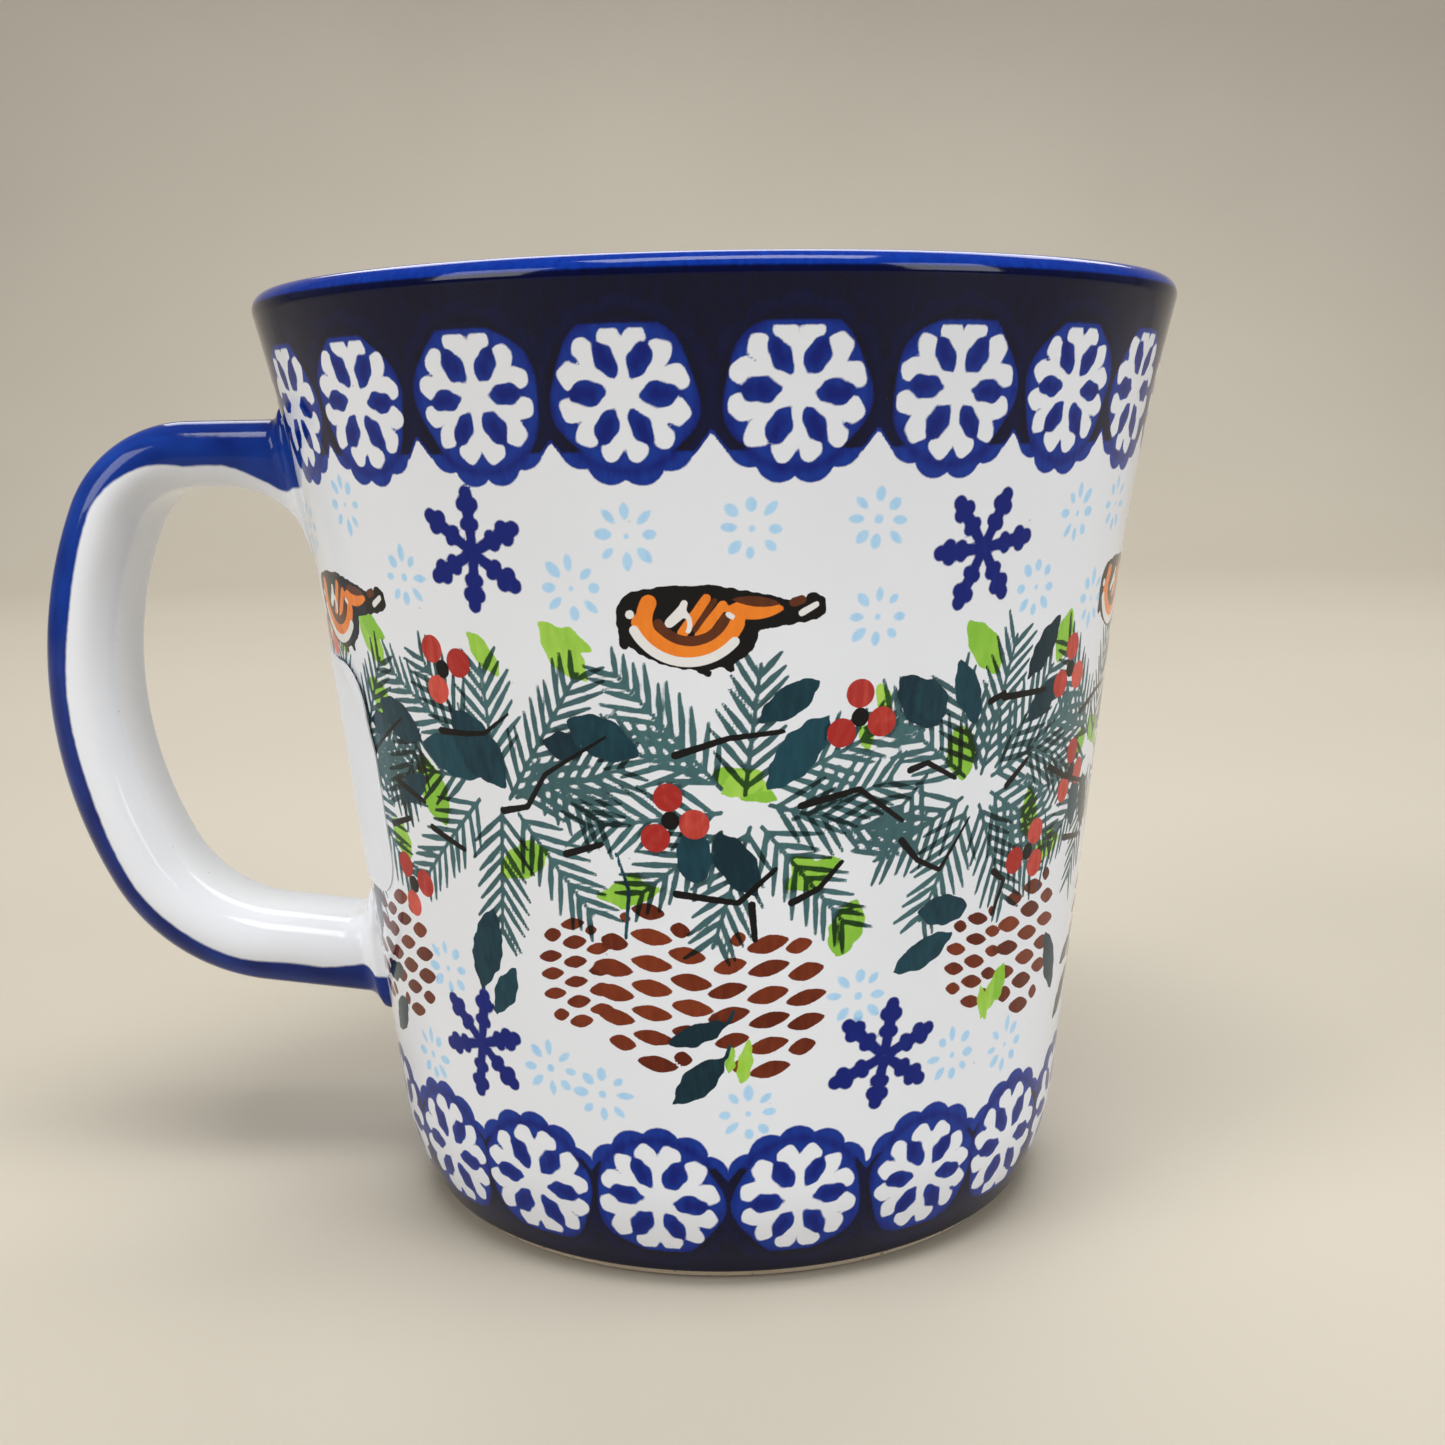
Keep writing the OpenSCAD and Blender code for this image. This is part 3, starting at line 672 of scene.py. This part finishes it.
# A panel is its painted face f, its hidden face b, two upright edges, and two caps whose faces
# join one wide hidden step to the eight fine painted ones.
panels = []
rows = len(row_z)
backs = PANEL_COLUMNS // BACK_EVERY
MAP_FRONT, MAP_BACK, MAP_BACK_WIDE = 0.96, 0.97, 0.015
MAP_EDGES, MAP_EDGE_WIDE, MAP_CAPS = (0.988, 0.992), 0.003, (0.9965, 0.999)
for k in range(PANELS):
    first = k * PANEL_COLUMNS
    columns = first + np.arange(PANEL_COLUMNS + 1)
    front = turned(row_r, row_z, columns * STEP)
    back = turned(back_r, back_z, columns[::BACK_EVERY] * STEP)
    f = np.arange(rows * (PANEL_COLUMNS + 1)).reshape(rows, -1)
    b = f.size + np.arange(rows * (backs + 1)).reshape(rows, -1)
    strip = np.arange(backs)[:, None] * BACK_EVERY + np.arange(BACK_EVERY + 1)[None, :]
    low_cap = np.concatenate([f[0][strip[:, ::-1]], b[0, :-1, None], b[0, 1:, None]], axis=1)
    top_cap = np.concatenate([f[-1][strip], b[-1, 1:, None], b[-1, :-1, None]], axis=1)
    sides = (quads(f), quads(b)[:, ::-1],
             quads(np.stack([b[:, 0], f[:, 0]], axis=1)),
             quads(np.stack([f[:, -1], b[:, -1]], axis=1)), low_cap, top_cap)
    points = np.concatenate([front.reshape(-1, 3), back.reshape(-1, 3)]) * MM
    panel = mesh_object(f"glaze_panel_{k + 1}", points, *sides)
    normals = turned(slope_z / steep, -slope_r / steep, columns * STEP)
    normals = np.concatenate([normals.reshape(-1, 3),
                              -normals[:, ::BACK_EVERY].reshape(-1, 3)])
    panel.data.normals_split_custom_set_from_vertices(normals.tolist())
    for name, inks in zip("abcd", ATTRIBUTES):
        layer = panel.data.color_attributes.new(f"paint_{name}", "FLOAT_COLOR", "POINT")
        values = np.zeros((len(points), 4), np.float32)
        for channel, ink in enumerate(inks):
            values[:f.size, channel] = paint[ink][:, columns % ALL_COLUMNS].ravel()
        layer.data.foreach_set("color", values.ravel())
    # Its flat map: the painted face fills the left 96 %, and the other faces share the rest.
    u = np.concatenate([np.tile(np.linspace(0, MAP_FRONT, PANEL_COLUMNS + 1), rows),
                        np.tile(np.linspace(MAP_BACK, MAP_BACK + MAP_BACK_WIDE, backs + 1), rows)])
    v = np.concatenate([np.repeat(np.linspace(0, 1, rows), PANEL_COLUMNS + 1),
                        np.repeat(np.linspace(0, 1, rows), backs + 1)])
    flat_u, flat_v = [u[side].ravel() for side in sides], [v[side].ravel() for side in sides]
    for edge, at in zip((2, 3), MAP_EDGES):
        flat_u[edge] = np.where(sides[edge].ravel() < f.size, at, at + MAP_EDGE_WIDE)
    for cap, low in ((4, 0.0), (5, 0.5)):
        on_front = sides[cap].ravel() < f.size
        flat_v[cap] = low + 0.5 * np.where(on_front, flat_u[cap] / MAP_FRONT,
                                           (flat_u[cap] - MAP_BACK) / MAP_BACK_WIDE)
        flat_u[cap] = np.where(on_front, *MAP_CAPS)
    layer = panel.data.uv_layers.new(name="OFBake")
    layer.data.foreach_set("uv", np.stack([np.concatenate(flat_u), np.concatenate(flat_v)],
                                          axis=1).astype(np.float32).ravel())
    panels.append(panel)


def glaze_surface(tree, shader, place, base):
    """Finishes a glazed surface: soft waves of 7 mm, a peel of 1 mm, and a few dark pinholes."""
    waves = node(tree, "TexNoise", {"Vector": place, "Scale": 140.0, "Detail": 2.0})
    peel = node(tree, "TexNoise", {"Vector": place, "Scale": 900.0, "Detail": 2.0})
    bump = node(tree, "Bump", {"Height": waves.outputs[0], "Distance": 0.12 * MM,
                               "Strength": 0.35})
    fine = node(tree, "Bump", {"Height": peel.outputs[0], "Distance": 0.012 * MM,
                               "Strength": 0.5, "Normal": bump.outputs[0]})
    pins = node(tree, "TexVoronoi", {"Vector": place, "Scale": 260.0})
    pin = node(tree, "MapRange", {0: pins.outputs["Distance"], 1: 0.016, 2: 0.034, 3: 0.45,
                                  4: 0.0})
    specked = node(tree, "Mix", {0: pin.outputs[0], 6: base, 7: colour("#4a443c")},
                   data_type="RGBA")
    tree.links.new(specked.outputs[2], shader.inputs["Base Color"])
    tree.links.new(fine.outputs[0], shader.inputs["Normal"])


def white_glaze(tree, place):
    """The bare coat's colour: a soft white, clouded over 25 mm."""
    clouds = node(tree, "TexNoise", {"Vector": place, "Scale": 40.0, "Detail": 3.0})
    return node(tree, "Mix", {0: clouds.outputs[0], 6: colour("#dfe1e5"), 7: colour("#e9ebee")},
                data_type="RGBA").outputs[2]


def sharpened(tree, cover, noise, ragged, strength, soft):
    """Turns a coverage ramp into paint: it starts where the ramp, moved by noise, passes a half."""
    torn = node(tree, "Math", {0: noise, 1: ragged, 2: cover}, operation="MULTIPLY_ADD")
    middle = 0.5 + ragged / 2
    return node(tree, "MapRange", {0: torn.outputs[0], 1: middle - soft, 2: middle + soft, 3: 0.0,
                                   4: strength}, interpolation_type="SMOOTHSTEP").outputs[0]


# Stoneware glaze over painted oxides, fired glossy: ink that is laid in later hides what is under
# it, but the two washes of the pine darken each other. Each ink goes from thin to thick with its
# load and the bristles' streaks: (ink, thin, thick, strength, ragged, soft, blend).
LAYERS = (("pale", "#a4d2f0", "#72b3e6", 0.85, 0.12, 0.2, "MIX"),
          ("cone", "#86391a", "#5a1d08", 1.0, 0.16, 0.05, "MIX"),
          ("lime", "#b0d850", "#7fba26", 0.97, 0.3, 0.08, "MIX"),
          ("needle_a", "#426f70", "#164043", 0.98, 0.14, 0.09, "MULTIPLY"),
          ("needle_b", "#3c6668", "#12393d", 0.98, 0.14, 0.09, "MULTIPLY"),
          ("leaf", "#1b4c59", "#072833", 1.0, 0.2, 0.06, "MIX"),
          ("berry", "#e0604f", "#a6261f", 0.99, 0.1, 0.06, "MIX"),
          ("black", "#0c0a0c", "#020203", 1.0, 0.16, 0.05, "MIX"),
          ("cobalt", "#0f3a98", "#001870", 1.0, 0.2, 0.17, "MIX"),
          ("deep", "#03093a", "#01021c", 1.0, 0.25, 0.24, "MIX"),
          ("orange", "#f08528", "#d8620e", 0.98, 0.1, 0.06, "MIX"),
          ("brown", "#5e2f16", "#371607", 1.0, 0.12, 0.06, "MIX"),
          ("white", "#e4e2dd", "#dcdad6", 1.0, 0.06, 0.06, "MIX"))
GLASS = {"IOR": 1.52, "Specular_IOR_Level": 0.2}
painted, tree, shader, place = material("glossy_glaze_over_oxide_painting", Roughness=0.09,
                                        **GLASS)
sockets = {}
for name, inks in zip("abcd", ATTRIBUTES):
    source = node(tree, "Attribute", attribute_name=f"paint_{name}")
    split = node(tree, "SeparateColor", {0: source.outputs["Color"]})
    sockets.update(zip(inks, (*split.outputs[:3], source.outputs["Alpha"])))
# The tears along an edge are about 0.4 mm, and the bristles' streaks 0.7 mm wide and 2.4 mm long.
torn_edge = node(tree, "TexNoise", {"Vector": place, "Scale": 2400.0, "Detail": 2.0}).outputs[0]
pulled = node(tree, "Mapping", {"Vector": place, "Scale": (1500.0, 1500.0, 420.0)})
streak = node(tree, "TexNoise", {"Vector": pulled.outputs[0], "Scale": 1.0, "Detail": 3.0})
loaded = node(tree, "Math", {0: streak.outputs[0], 1: 0.9, 2: sockets["load"]},
              operation="MULTIPLY_ADD")
density = node(tree, "MapRange", {0: loaded.outputs[0], 1: 0.35, 2: 1.25, 3: 0.0, 4: 1.0})
shown = white_glaze(tree, place)
for ink, thin, thick, strength, ragged, soft, blend in LAYERS:
    cover = sharpened(tree, sockets[ink], torn_edge, ragged, strength, soft)
    tone = node(tree, "Mix", {0: density.outputs[0], 6: colour(thin), 7: colour(thick)},
                data_type="RGBA")
    shown = node(tree, "Mix", {0: cover, 6: shown, 7: tone.outputs[2]}, data_type="RGBA",
                 blend_type=blend).outputs[2]
glaze_surface(tree, shader, place, shown)
for panel in panels:
    panel.data.materials.append(painted)
    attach(panel, "root")
    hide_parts("outer_glaze")


# ---- Inner glaze ----
# The same soft white coat, poured in and swirled out, with the cobalt lip line brushed over its
# top edge. It is turned as one closed skin, 0.4 mm thick.

INNER_COLUMNS, FLOOR_Z, FLOOR_BEND_R = 192, 7.4, 12.0
AXIS_R = 0.4                              # the innermost ring, which one flat face fills
INNER_LINE_Z = 93.4                       # the lip line ends here inside


def inner_profile(depth):
    """The inside from the lip's top to the axis, depth mm into the clay: lip, wall, bend, floor."""
    bend_z = FLOOR_Z + FLOOR_BEND_R - (WALL_T + FLOOR_BEND_R) * math.sin(math.atan(WALL_TAPER))
    bend_middle = wall_point(bend_z, WALL_T + FLOOR_BEND_R)
    wall_z = np.linspace(lip_start_z, bend_z, 90)[1:-1]
    thick = WALL_T - (WALL_T - LIP_T) * np.maximum(0, 1 - (CUP_H - wall_z) / FLARE_H) ** 2
    parts = (arc(lip_middle, LIP_R - depth, math.pi / 2, math.pi - lip_lean, 14),
             wall_point(wall_z, thick - depth),
             arc(bend_middle, FLOOR_BEND_R + depth, -float(wall_lean(bend_z)), -math.pi / 2, 20),
             (np.linspace(bend_middle[0] - 1.5, AXIS_R, 12),
              np.full(12, bend_middle[1] - FLOOR_BEND_R - depth)))
    return (np.concatenate([part[0] for part in parts]),
            np.concatenate([part[1] for part in parts]))


def closed_tube(name, rings):
    """A closed skin over rings of points in mm, each ring joined to itself, the ends filled."""
    count = rings.shape[1]
    numbers = np.arange(len(rings) * count).reshape(-1, count)
    around = np.concatenate([numbers, numbers[:, :1]], axis=1)
    return mesh_object(name, rings.reshape(-1, 3) * MM, quads(around),
                       numbers[:1, ::-1], numbers[-1:])


inner_r, inner_z = inner_profile(0)
under_r, under_z = inner_profile(GLAZE_T)
inner_rings = turned(np.r_[under_r[::-1], inner_r], np.r_[under_z[::-1], inner_z],
                     np.arange(INNER_COLUMNS) * 360 / INNER_COLUMNS)
inner_glaze = closed_tube("inner_glaze_coat", inner_rings)
inner_glaze.data.set_sharp_from_angle(angle=math.radians(50))

# Stoneware glaze, fired glossy. The lip line is cobalt, thin where the glaze ran off the edge.
lined, tree, shader, place = material("glossy_warm_white_glaze_with_cobalt_lip", Roughness=0.09,
                                      **GLASS)
height_of = node(tree, "SeparateXYZ", {0: place}).outputs[2]
brushed = node(tree, "TexNoise", {"Vector": place, "Scale": 260.0, "Detail": 3.0}).outputs[0]
line_z = node(tree, "Math", {0: brushed, 1: 1.4 * MM, 2: height_of}, operation="MULTIPLY_ADD")
lined_here = node(tree, "MapRange", {0: line_z.outputs[0], 1: (INNER_LINE_Z + 0.5) * MM,
                                     2: (INNER_LINE_Z + 0.9) * MM}, interpolation_type="SMOOTHSTEP")
line_tone = node(tree, "Mix", {0: brushed, 6: colour("#2a4fae"), 7: colour("#14308c")},
                 data_type="RGBA")
inner_shown = node(tree, "Mix", {0: lined_here.outputs[0], 6: white_glaze(tree, place),
                                 7: line_tone.outputs[2]}, data_type="RGBA")
glaze_surface(tree, shader, place, inner_shown.outputs[2])
inner_glaze.data.materials.append(lined)
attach(inner_glaze, "root")
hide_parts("inner_glaze")


# ---- Base glaze ----
# Glaze pools in the hollow under the base and creeps down the inner face of the foot ring, which
# was wiped bare before firing.

RECESS_Z, RING_INNER_R, CREEP = 2.2, 28.17, 0.55
CREEP_START_R, BASE_COLUMNS = 26.2, 128
# The underside's outline: flat, then a creep down the ring as a power curve, then its top.
pool_r = np.r_[np.linspace(AXIS_R, 24, 20), np.linspace(24.4, RING_INNER_R, 16)]
creep_share = np.maximum(0, (pool_r - CREEP_START_R) / (RING_INNER_R - CREEP_START_R))
pool_z = RECESS_Z - CREEP * creep_share ** 2.6
base_rings = turned(np.r_[pool_r, RING_INNER_R, AXIS_R],
                    np.r_[pool_z, RECESS_Z + GLAZE_T, RECESS_Z + GLAZE_T],
                    np.arange(BASE_COLUMNS) * 360 / BASE_COLUMNS)
base_glaze = closed_tube("base_glaze_pool", base_rings)
base_glaze.data.set_sharp_from_angle(angle=math.radians(50))
# Stoneware glaze again, a little duller where it pooled out of the kiln's draught.
pooled, tree, shader, place = material("pooled_warm_white_glaze", Roughness=0.12, **GLASS)
glaze_surface(tree, shader, place, white_glaze(tree, place))
base_glaze.data.materials.append(pooled)
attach(base_glaze, "root")
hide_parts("base_glaze")


# ---- Handle glaze ----
# The strap was pulled from a roll of clay, so it is flat with round edges. It runs straight out
# from the wall, through three bends, and back in a slight fall. Both ends were smoothed into the
# wall with a finger. Its outer face is brushed cobalt, and the rest is left white.

STRAP_TOP_T, STRAP_LOW_T, STRAP_W = 6.0, 7.0, 14.4
TOP_Z, TOP_RUN = 80.1, 11.0
# Each bend: its middle's x and z, its radius, the degrees where it starts, the degrees it turns.
BENDS = ((-55.91, 69.6, 10.5, 90.0, 67.0), (-24.18, 56.13, 44.97, 157.0, 50.5),
         (-48.55, 43.45, 17.5, 207.5, 55.0))
RUN_SLOPE = math.radians(7.5)
START_WAY, END_WAY = 90.0, 262.5          # the way out of the loop at each end, in degrees
FAR = 99.0                                # stands for any distance from the wall past a run
LEAN_LENGTH = 9.0                         # the sections lean with the wall over these mm
# How far the ends run into the wall, how far the finger's smoothing reaches, how much the outer
# face is crowned, and the width of the ramp across the cobalt's edge.
INTO_WALL, FINGER_R, CROWN, LINE_RAMP = 1.6, 1.7, 0.25, 6.0
UPPER_FILLET_R, LOWER_FILLET_R, LOW_END_Z = 9.0, 3.4, 26.0
# The corner between the strap's inner face and the wall, at each end.
UPPER_OPENING = math.pi / 2 + float(wall_lean(TOP_Z - 6))
LOWER_OPENING = math.pi / 2 - RUN_SLOPE - float(wall_lean(LOW_END_Z))


def strap_path():
    """The middle line: x, z, the way out of the loop, and mm from the wall along each run."""
    run = np.linspace(-INTO_WALL, TOP_RUN, 44)[:-1]
    parts = [(-wall_r(TOP_Z) - run, np.full(len(run), TOP_Z), np.full(len(run), START_WAY),
              run, np.full(len(run), FAR))]
    for mid_x, mid_z, r, start, turn in BENDS:
        a = np.linspace(start, start + turn, round(turn / 1.6))
        parts.append((mid_x + r * np.cos(np.radians(a)), mid_z + r * np.sin(np.radians(a)), a,
                      np.full(len(a), FAR), np.full(len(a), FAR)))
    end_x, end_z = parts[-1][0][-1], parts[-1][1][-1]
    length = (-end_x - float(wall_r(end_z))) / math.cos(RUN_SLOPE)
    run = np.linspace(0, length + INTO_WALL, 44)[1:]
    parts.append((end_x + run * math.cos(RUN_SLOPE), end_z - run * math.sin(RUN_SLOPE),
                  np.full(len(run), END_WAY), np.full(len(run), FAR), length - run))
    return [np.concatenate([part[i] for part in parts]) for i in range(5)]


path_x, path_z, path_out, from_top, from_low = strap_path()
# One of the coincident stations where two bends meet goes, so that no face is thin.
kept = np.r_[True, np.hypot(np.diff(path_x), np.diff(path_z)) > 0.05]
path_x, path_z, path_out, from_top, from_low = (line[kept] for line in (
    path_x, path_z, path_out, from_top, from_low))
share = np.clip((path_out - START_WAY) / (END_WAY - START_WAY), 0, 1)
half_t = (STRAP_TOP_T + (STRAP_LOW_T - STRAP_TOP_T) * share) / 2 + GLAZE_T
half_w = np.full(len(share), STRAP_W / 2 + GLAZE_T)


def fillet_rise(away, r, opening):
    """How far a circle that touches both sides of a corner stands off the strap's face.

    It is the lower root of the circle's equation, with away measured from the leaning wall.
    """
    slant = 1 / math.tan(opening)
    short = np.minimum(np.maximum(away, 0) - r / math.tan(opening / 2), 0)
    half = r - slant * short
    whole = 1 + slant ** 2
    return (half - np.sqrt(np.maximum(0, half ** 2 - whole * short ** 2))) / whole


# At the wall the strap also spreads to its sides and its outer face, as a finger smoothed it.
finger = FINGER_R * np.clip(1 - np.minimum(from_top, from_low) / FINGER_R, 0, 1) ** 2
inner_t = (half_t + fillet_rise(from_top, UPPER_FILLET_R, UPPER_OPENING)
           + fillet_rise(from_low, LOWER_FILLET_R, LOWER_OPENING))
outer_t = half_t + 0.75 * finger
side_w = half_w + 0.8 * finger

# The section, once round: a quarter circle at each outer edge, a quarter oval at each inner one.
half_turn = np.linspace(math.pi / 2, -math.pi / 2, 25)
face = np.linspace(1, -1, 11)[1:-1]
section_turn = np.r_[half_turn, np.full(9, -math.pi / 2), half_turn - math.pi,
                     np.full(9, math.pi / 2)][None, :]
section_side = np.r_[np.ones(25), face, -np.ones(25), -face][None, :]
edge_r = half_t[:, None]
strap_y = section_side * (side_w[:, None] - edge_r) + np.cos(section_turn) * edge_r
rise = np.sin(section_turn) * np.where(np.sin(section_turn) > 0, outer_t[:, None], inner_t[:, None])
rise += CROWN * np.maximum(np.sin(section_turn), 0) * (1 - (strap_y / side_w[:, None]) ** 2)
strap_x = path_x[:, None] + rise * np.cos(np.radians(path_out))[:, None]
strap_z = path_z[:, None] + rise * np.sin(np.radians(path_out))[:, None]
# Near the wall the sections slide along their run, to lean with the wall.
near = np.clip(1 - np.minimum(from_top, from_low) / LEAN_LENGTH, 0, 1)[:, None]
slide = near * (path_x[:, None] - strap_x + wall_r(path_z)[:, None] - wall_r(strap_z))
strap_x += slide
strap_z -= slide * np.where(from_low < FAR, math.tan(RUN_SLOPE), 0)[:, None]
handle_glaze = closed_tube("handle_glaze_coat", np.stack([strap_x, strap_y, strap_z], axis=-1))

# The cobalt stops at a wavy line down each edge: this many mm below the outer face.
line = np.interp(share, (0, 0.12, 0.35, 0.6, 0.85, 1), (4.6, 3.7, 3.1, 3.0, 2.9, 2.9))
line += 3.6 * np.clip(1 - from_top / 7, 0, 1) ** 1.5 + 1.4 * np.clip(1 - from_low / 6, 0, 1)
line += 0.12 * np.sin(path_x * 0.5) + 0.14 * np.sin(path_z * 0.3 + 1)
line_gap = outer_t[:, None] - rise - line[:, None]
cover = np.zeros((line_gap.size, 4), np.float32)
cover[:, 0] = np.clip(0.5 - line_gap / LINE_RAMP, 0, 1).ravel()
cover[:, 3] = 1
layer = handle_glaze.data.color_attributes.new("brushed_cobalt", "FLOAT_COLOR", "POINT")
layer.data.foreach_set("color", cover.ravel())

# Stoneware glaze over cobalt brushed on along the strap: darker where it is thick, lighter on
# the edges where it thinned.
cobalt_strap, tree, shader, place = material("glossy_glaze_over_brushed_cobalt", Roughness=0.1,
                                             **GLASS)
painted_here = node(tree, "Attribute", attribute_name="brushed_cobalt")
cover_here = node(tree, "SeparateColor", {0: painted_here.outputs["Color"]}).outputs[0]
torn_edge = node(tree, "TexNoise", {"Vector": place, "Scale": 900.0, "Detail": 2.0}).outputs[0]
bristle_way = node(tree, "Mapping", {"Vector": place, "Scale": (160.0, 1300.0, 160.0)})
bristles = node(tree, "TexNoise", {"Vector": bristle_way.outputs[0], "Scale": 1.0, "Detail": 3.0})
pools = node(tree, "TexNoise", {"Vector": place, "Scale": 70.0, "Detail": 2.0})
thick = node(tree, "Math", {0: bristles.outputs[0], 1: 0.5, 2: pools.outputs[0]},
             operation="MULTIPLY_ADD")
thickness_here = node(tree, "MapRange", {0: thick.outputs[0], 1: 0.45, 2: 1.0})
strap_tone = node(tree, "Mix", {0: thickness_here.outputs[0], 6: colour("#183e96"),
                                7: colour("#061254")}, data_type="RGBA")
strap_cover = sharpened(tree, cover_here, torn_edge, 0.03, 1.0, 0.03)
strap_shown = node(tree, "Mix", {0: strap_cover, 6: white_glaze(tree, place),
                                 7: strap_tone.outputs[2]}, data_type="RGBA")
glaze_surface(tree, shader, place, strap_shown.outputs[2])
handle_glaze.data.materials.append(cobalt_strap)
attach(handle_glaze, "root")
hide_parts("handle_glaze")


# ---- Label ----
# A blank square of white paper with round corners, stuck on the glaze inside the loop. It has one
# faint crease across it, and its corner nearest the front has begun to lift.

LABEL_TURN = 197.5 - 270                  # of its middle, from the front
LABEL_W, LABEL_H, CORNER_R, PAPER_T = 24.0, 24.0, 5.0, 0.15
CREASE_UP, CREASE_RISE, CREASE_HALF = 4.6, 0.06, 0.5
CURL, CURL_START, CURL_LENGTH = 0.35, 13.5, 5.0
PAPER_POINTS = 49                         # along each side of the grid
label_low, label_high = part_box("price_label")
label_z = (label_low[2] + label_high[2]) / 2 / MM

# A grid whose rows shorten round the corners, as a quarter circle does, wrapped on the wall.
paper_share = np.linspace(-1, 1, PAPER_POINTS)
label_up = LABEL_H / 2 * np.sin(paper_share[:, None] * math.pi / 2)
in_corner = np.maximum(0, np.abs(label_up) - (LABEL_H / 2 - CORNER_R))
row_half = LABEL_W / 2 - CORNER_R + np.sqrt(CORNER_R ** 2 - in_corner ** 2)
label_across = paper_share[None, :] * row_half
off_crease = label_up - CREASE_UP - 0.04 * label_across
lifted = (CURL * np.clip((label_across + label_up - CURL_START) / CURL_LENGTH, 0, 1) ** 2
          + CREASE_RISE * np.exp(-(off_crease / CREASE_HALF) ** 2))
label_turn = np.radians(LABEL_TURN) + label_across / wall_r(label_z)
sheets = []
for off in (PAPER_T, 0.0):
    radius = wall_r(label_z + label_up) + off + lifted
    sheets.append(np.stack([radius * np.sin(label_turn), -radius * np.cos(label_turn),
                            np.broadcast_to(label_z + label_up, label_turn.shape)], axis=-1))
face_numbers = np.arange(PAPER_POINTS ** 2).reshape(PAPER_POINTS, PAPER_POINTS)
rim = np.r_[face_numbers[0, :-1], face_numbers[:-1, -1], face_numbers[-1, :0:-1],
            face_numbers[:0:-1, 0]]
under_rim = rim + face_numbers.size
rim_faces = np.stack([under_rim, np.roll(under_rim, -1), np.roll(rim, -1), rim], axis=-1)
label = mesh_object("blank_price_label", np.concatenate([part.reshape(-1, 3) for part in sheets])
                    * MM, quads(face_numbers), quads(face_numbers + face_numbers.size)[:, ::-1],
                    rim_faces)
label.data.set_sharp_from_angle(angle=math.radians(50))

# Coated label paper: a fine tooth of about 0.1 mm, a satin finish, slightly blue with brightener.
paper, tree, shader, place = material("satin_coated_label_paper", Roughness=0.48, IOR=1.45)
tooth = node(tree, "TexNoise", {"Vector": place, "Scale": 6000.0, "Detail": 3.0})
mottle = node(tree, "TexNoise", {"Vector": place, "Scale": 220.0, "Detail": 3.0})
paper_tone = node(tree, "Mix", {0: mottle.outputs[0], 6: colour("#dfe2e7"), 7: colour("#e9ebef")},
                  data_type="RGBA")
paper_bump = node(tree, "Bump", {"Height": tooth.outputs[0], "Distance": 0.01 * MM,
                                 "Strength": 0.5})
tree.links.new(paper_tone.outputs[2], shader.inputs["Base Color"])
tree.links.new(paper_bump.outputs[0], shader.inputs["Normal"])
label.data.materials.append(paper)
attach(label, "root")
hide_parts("price_label")
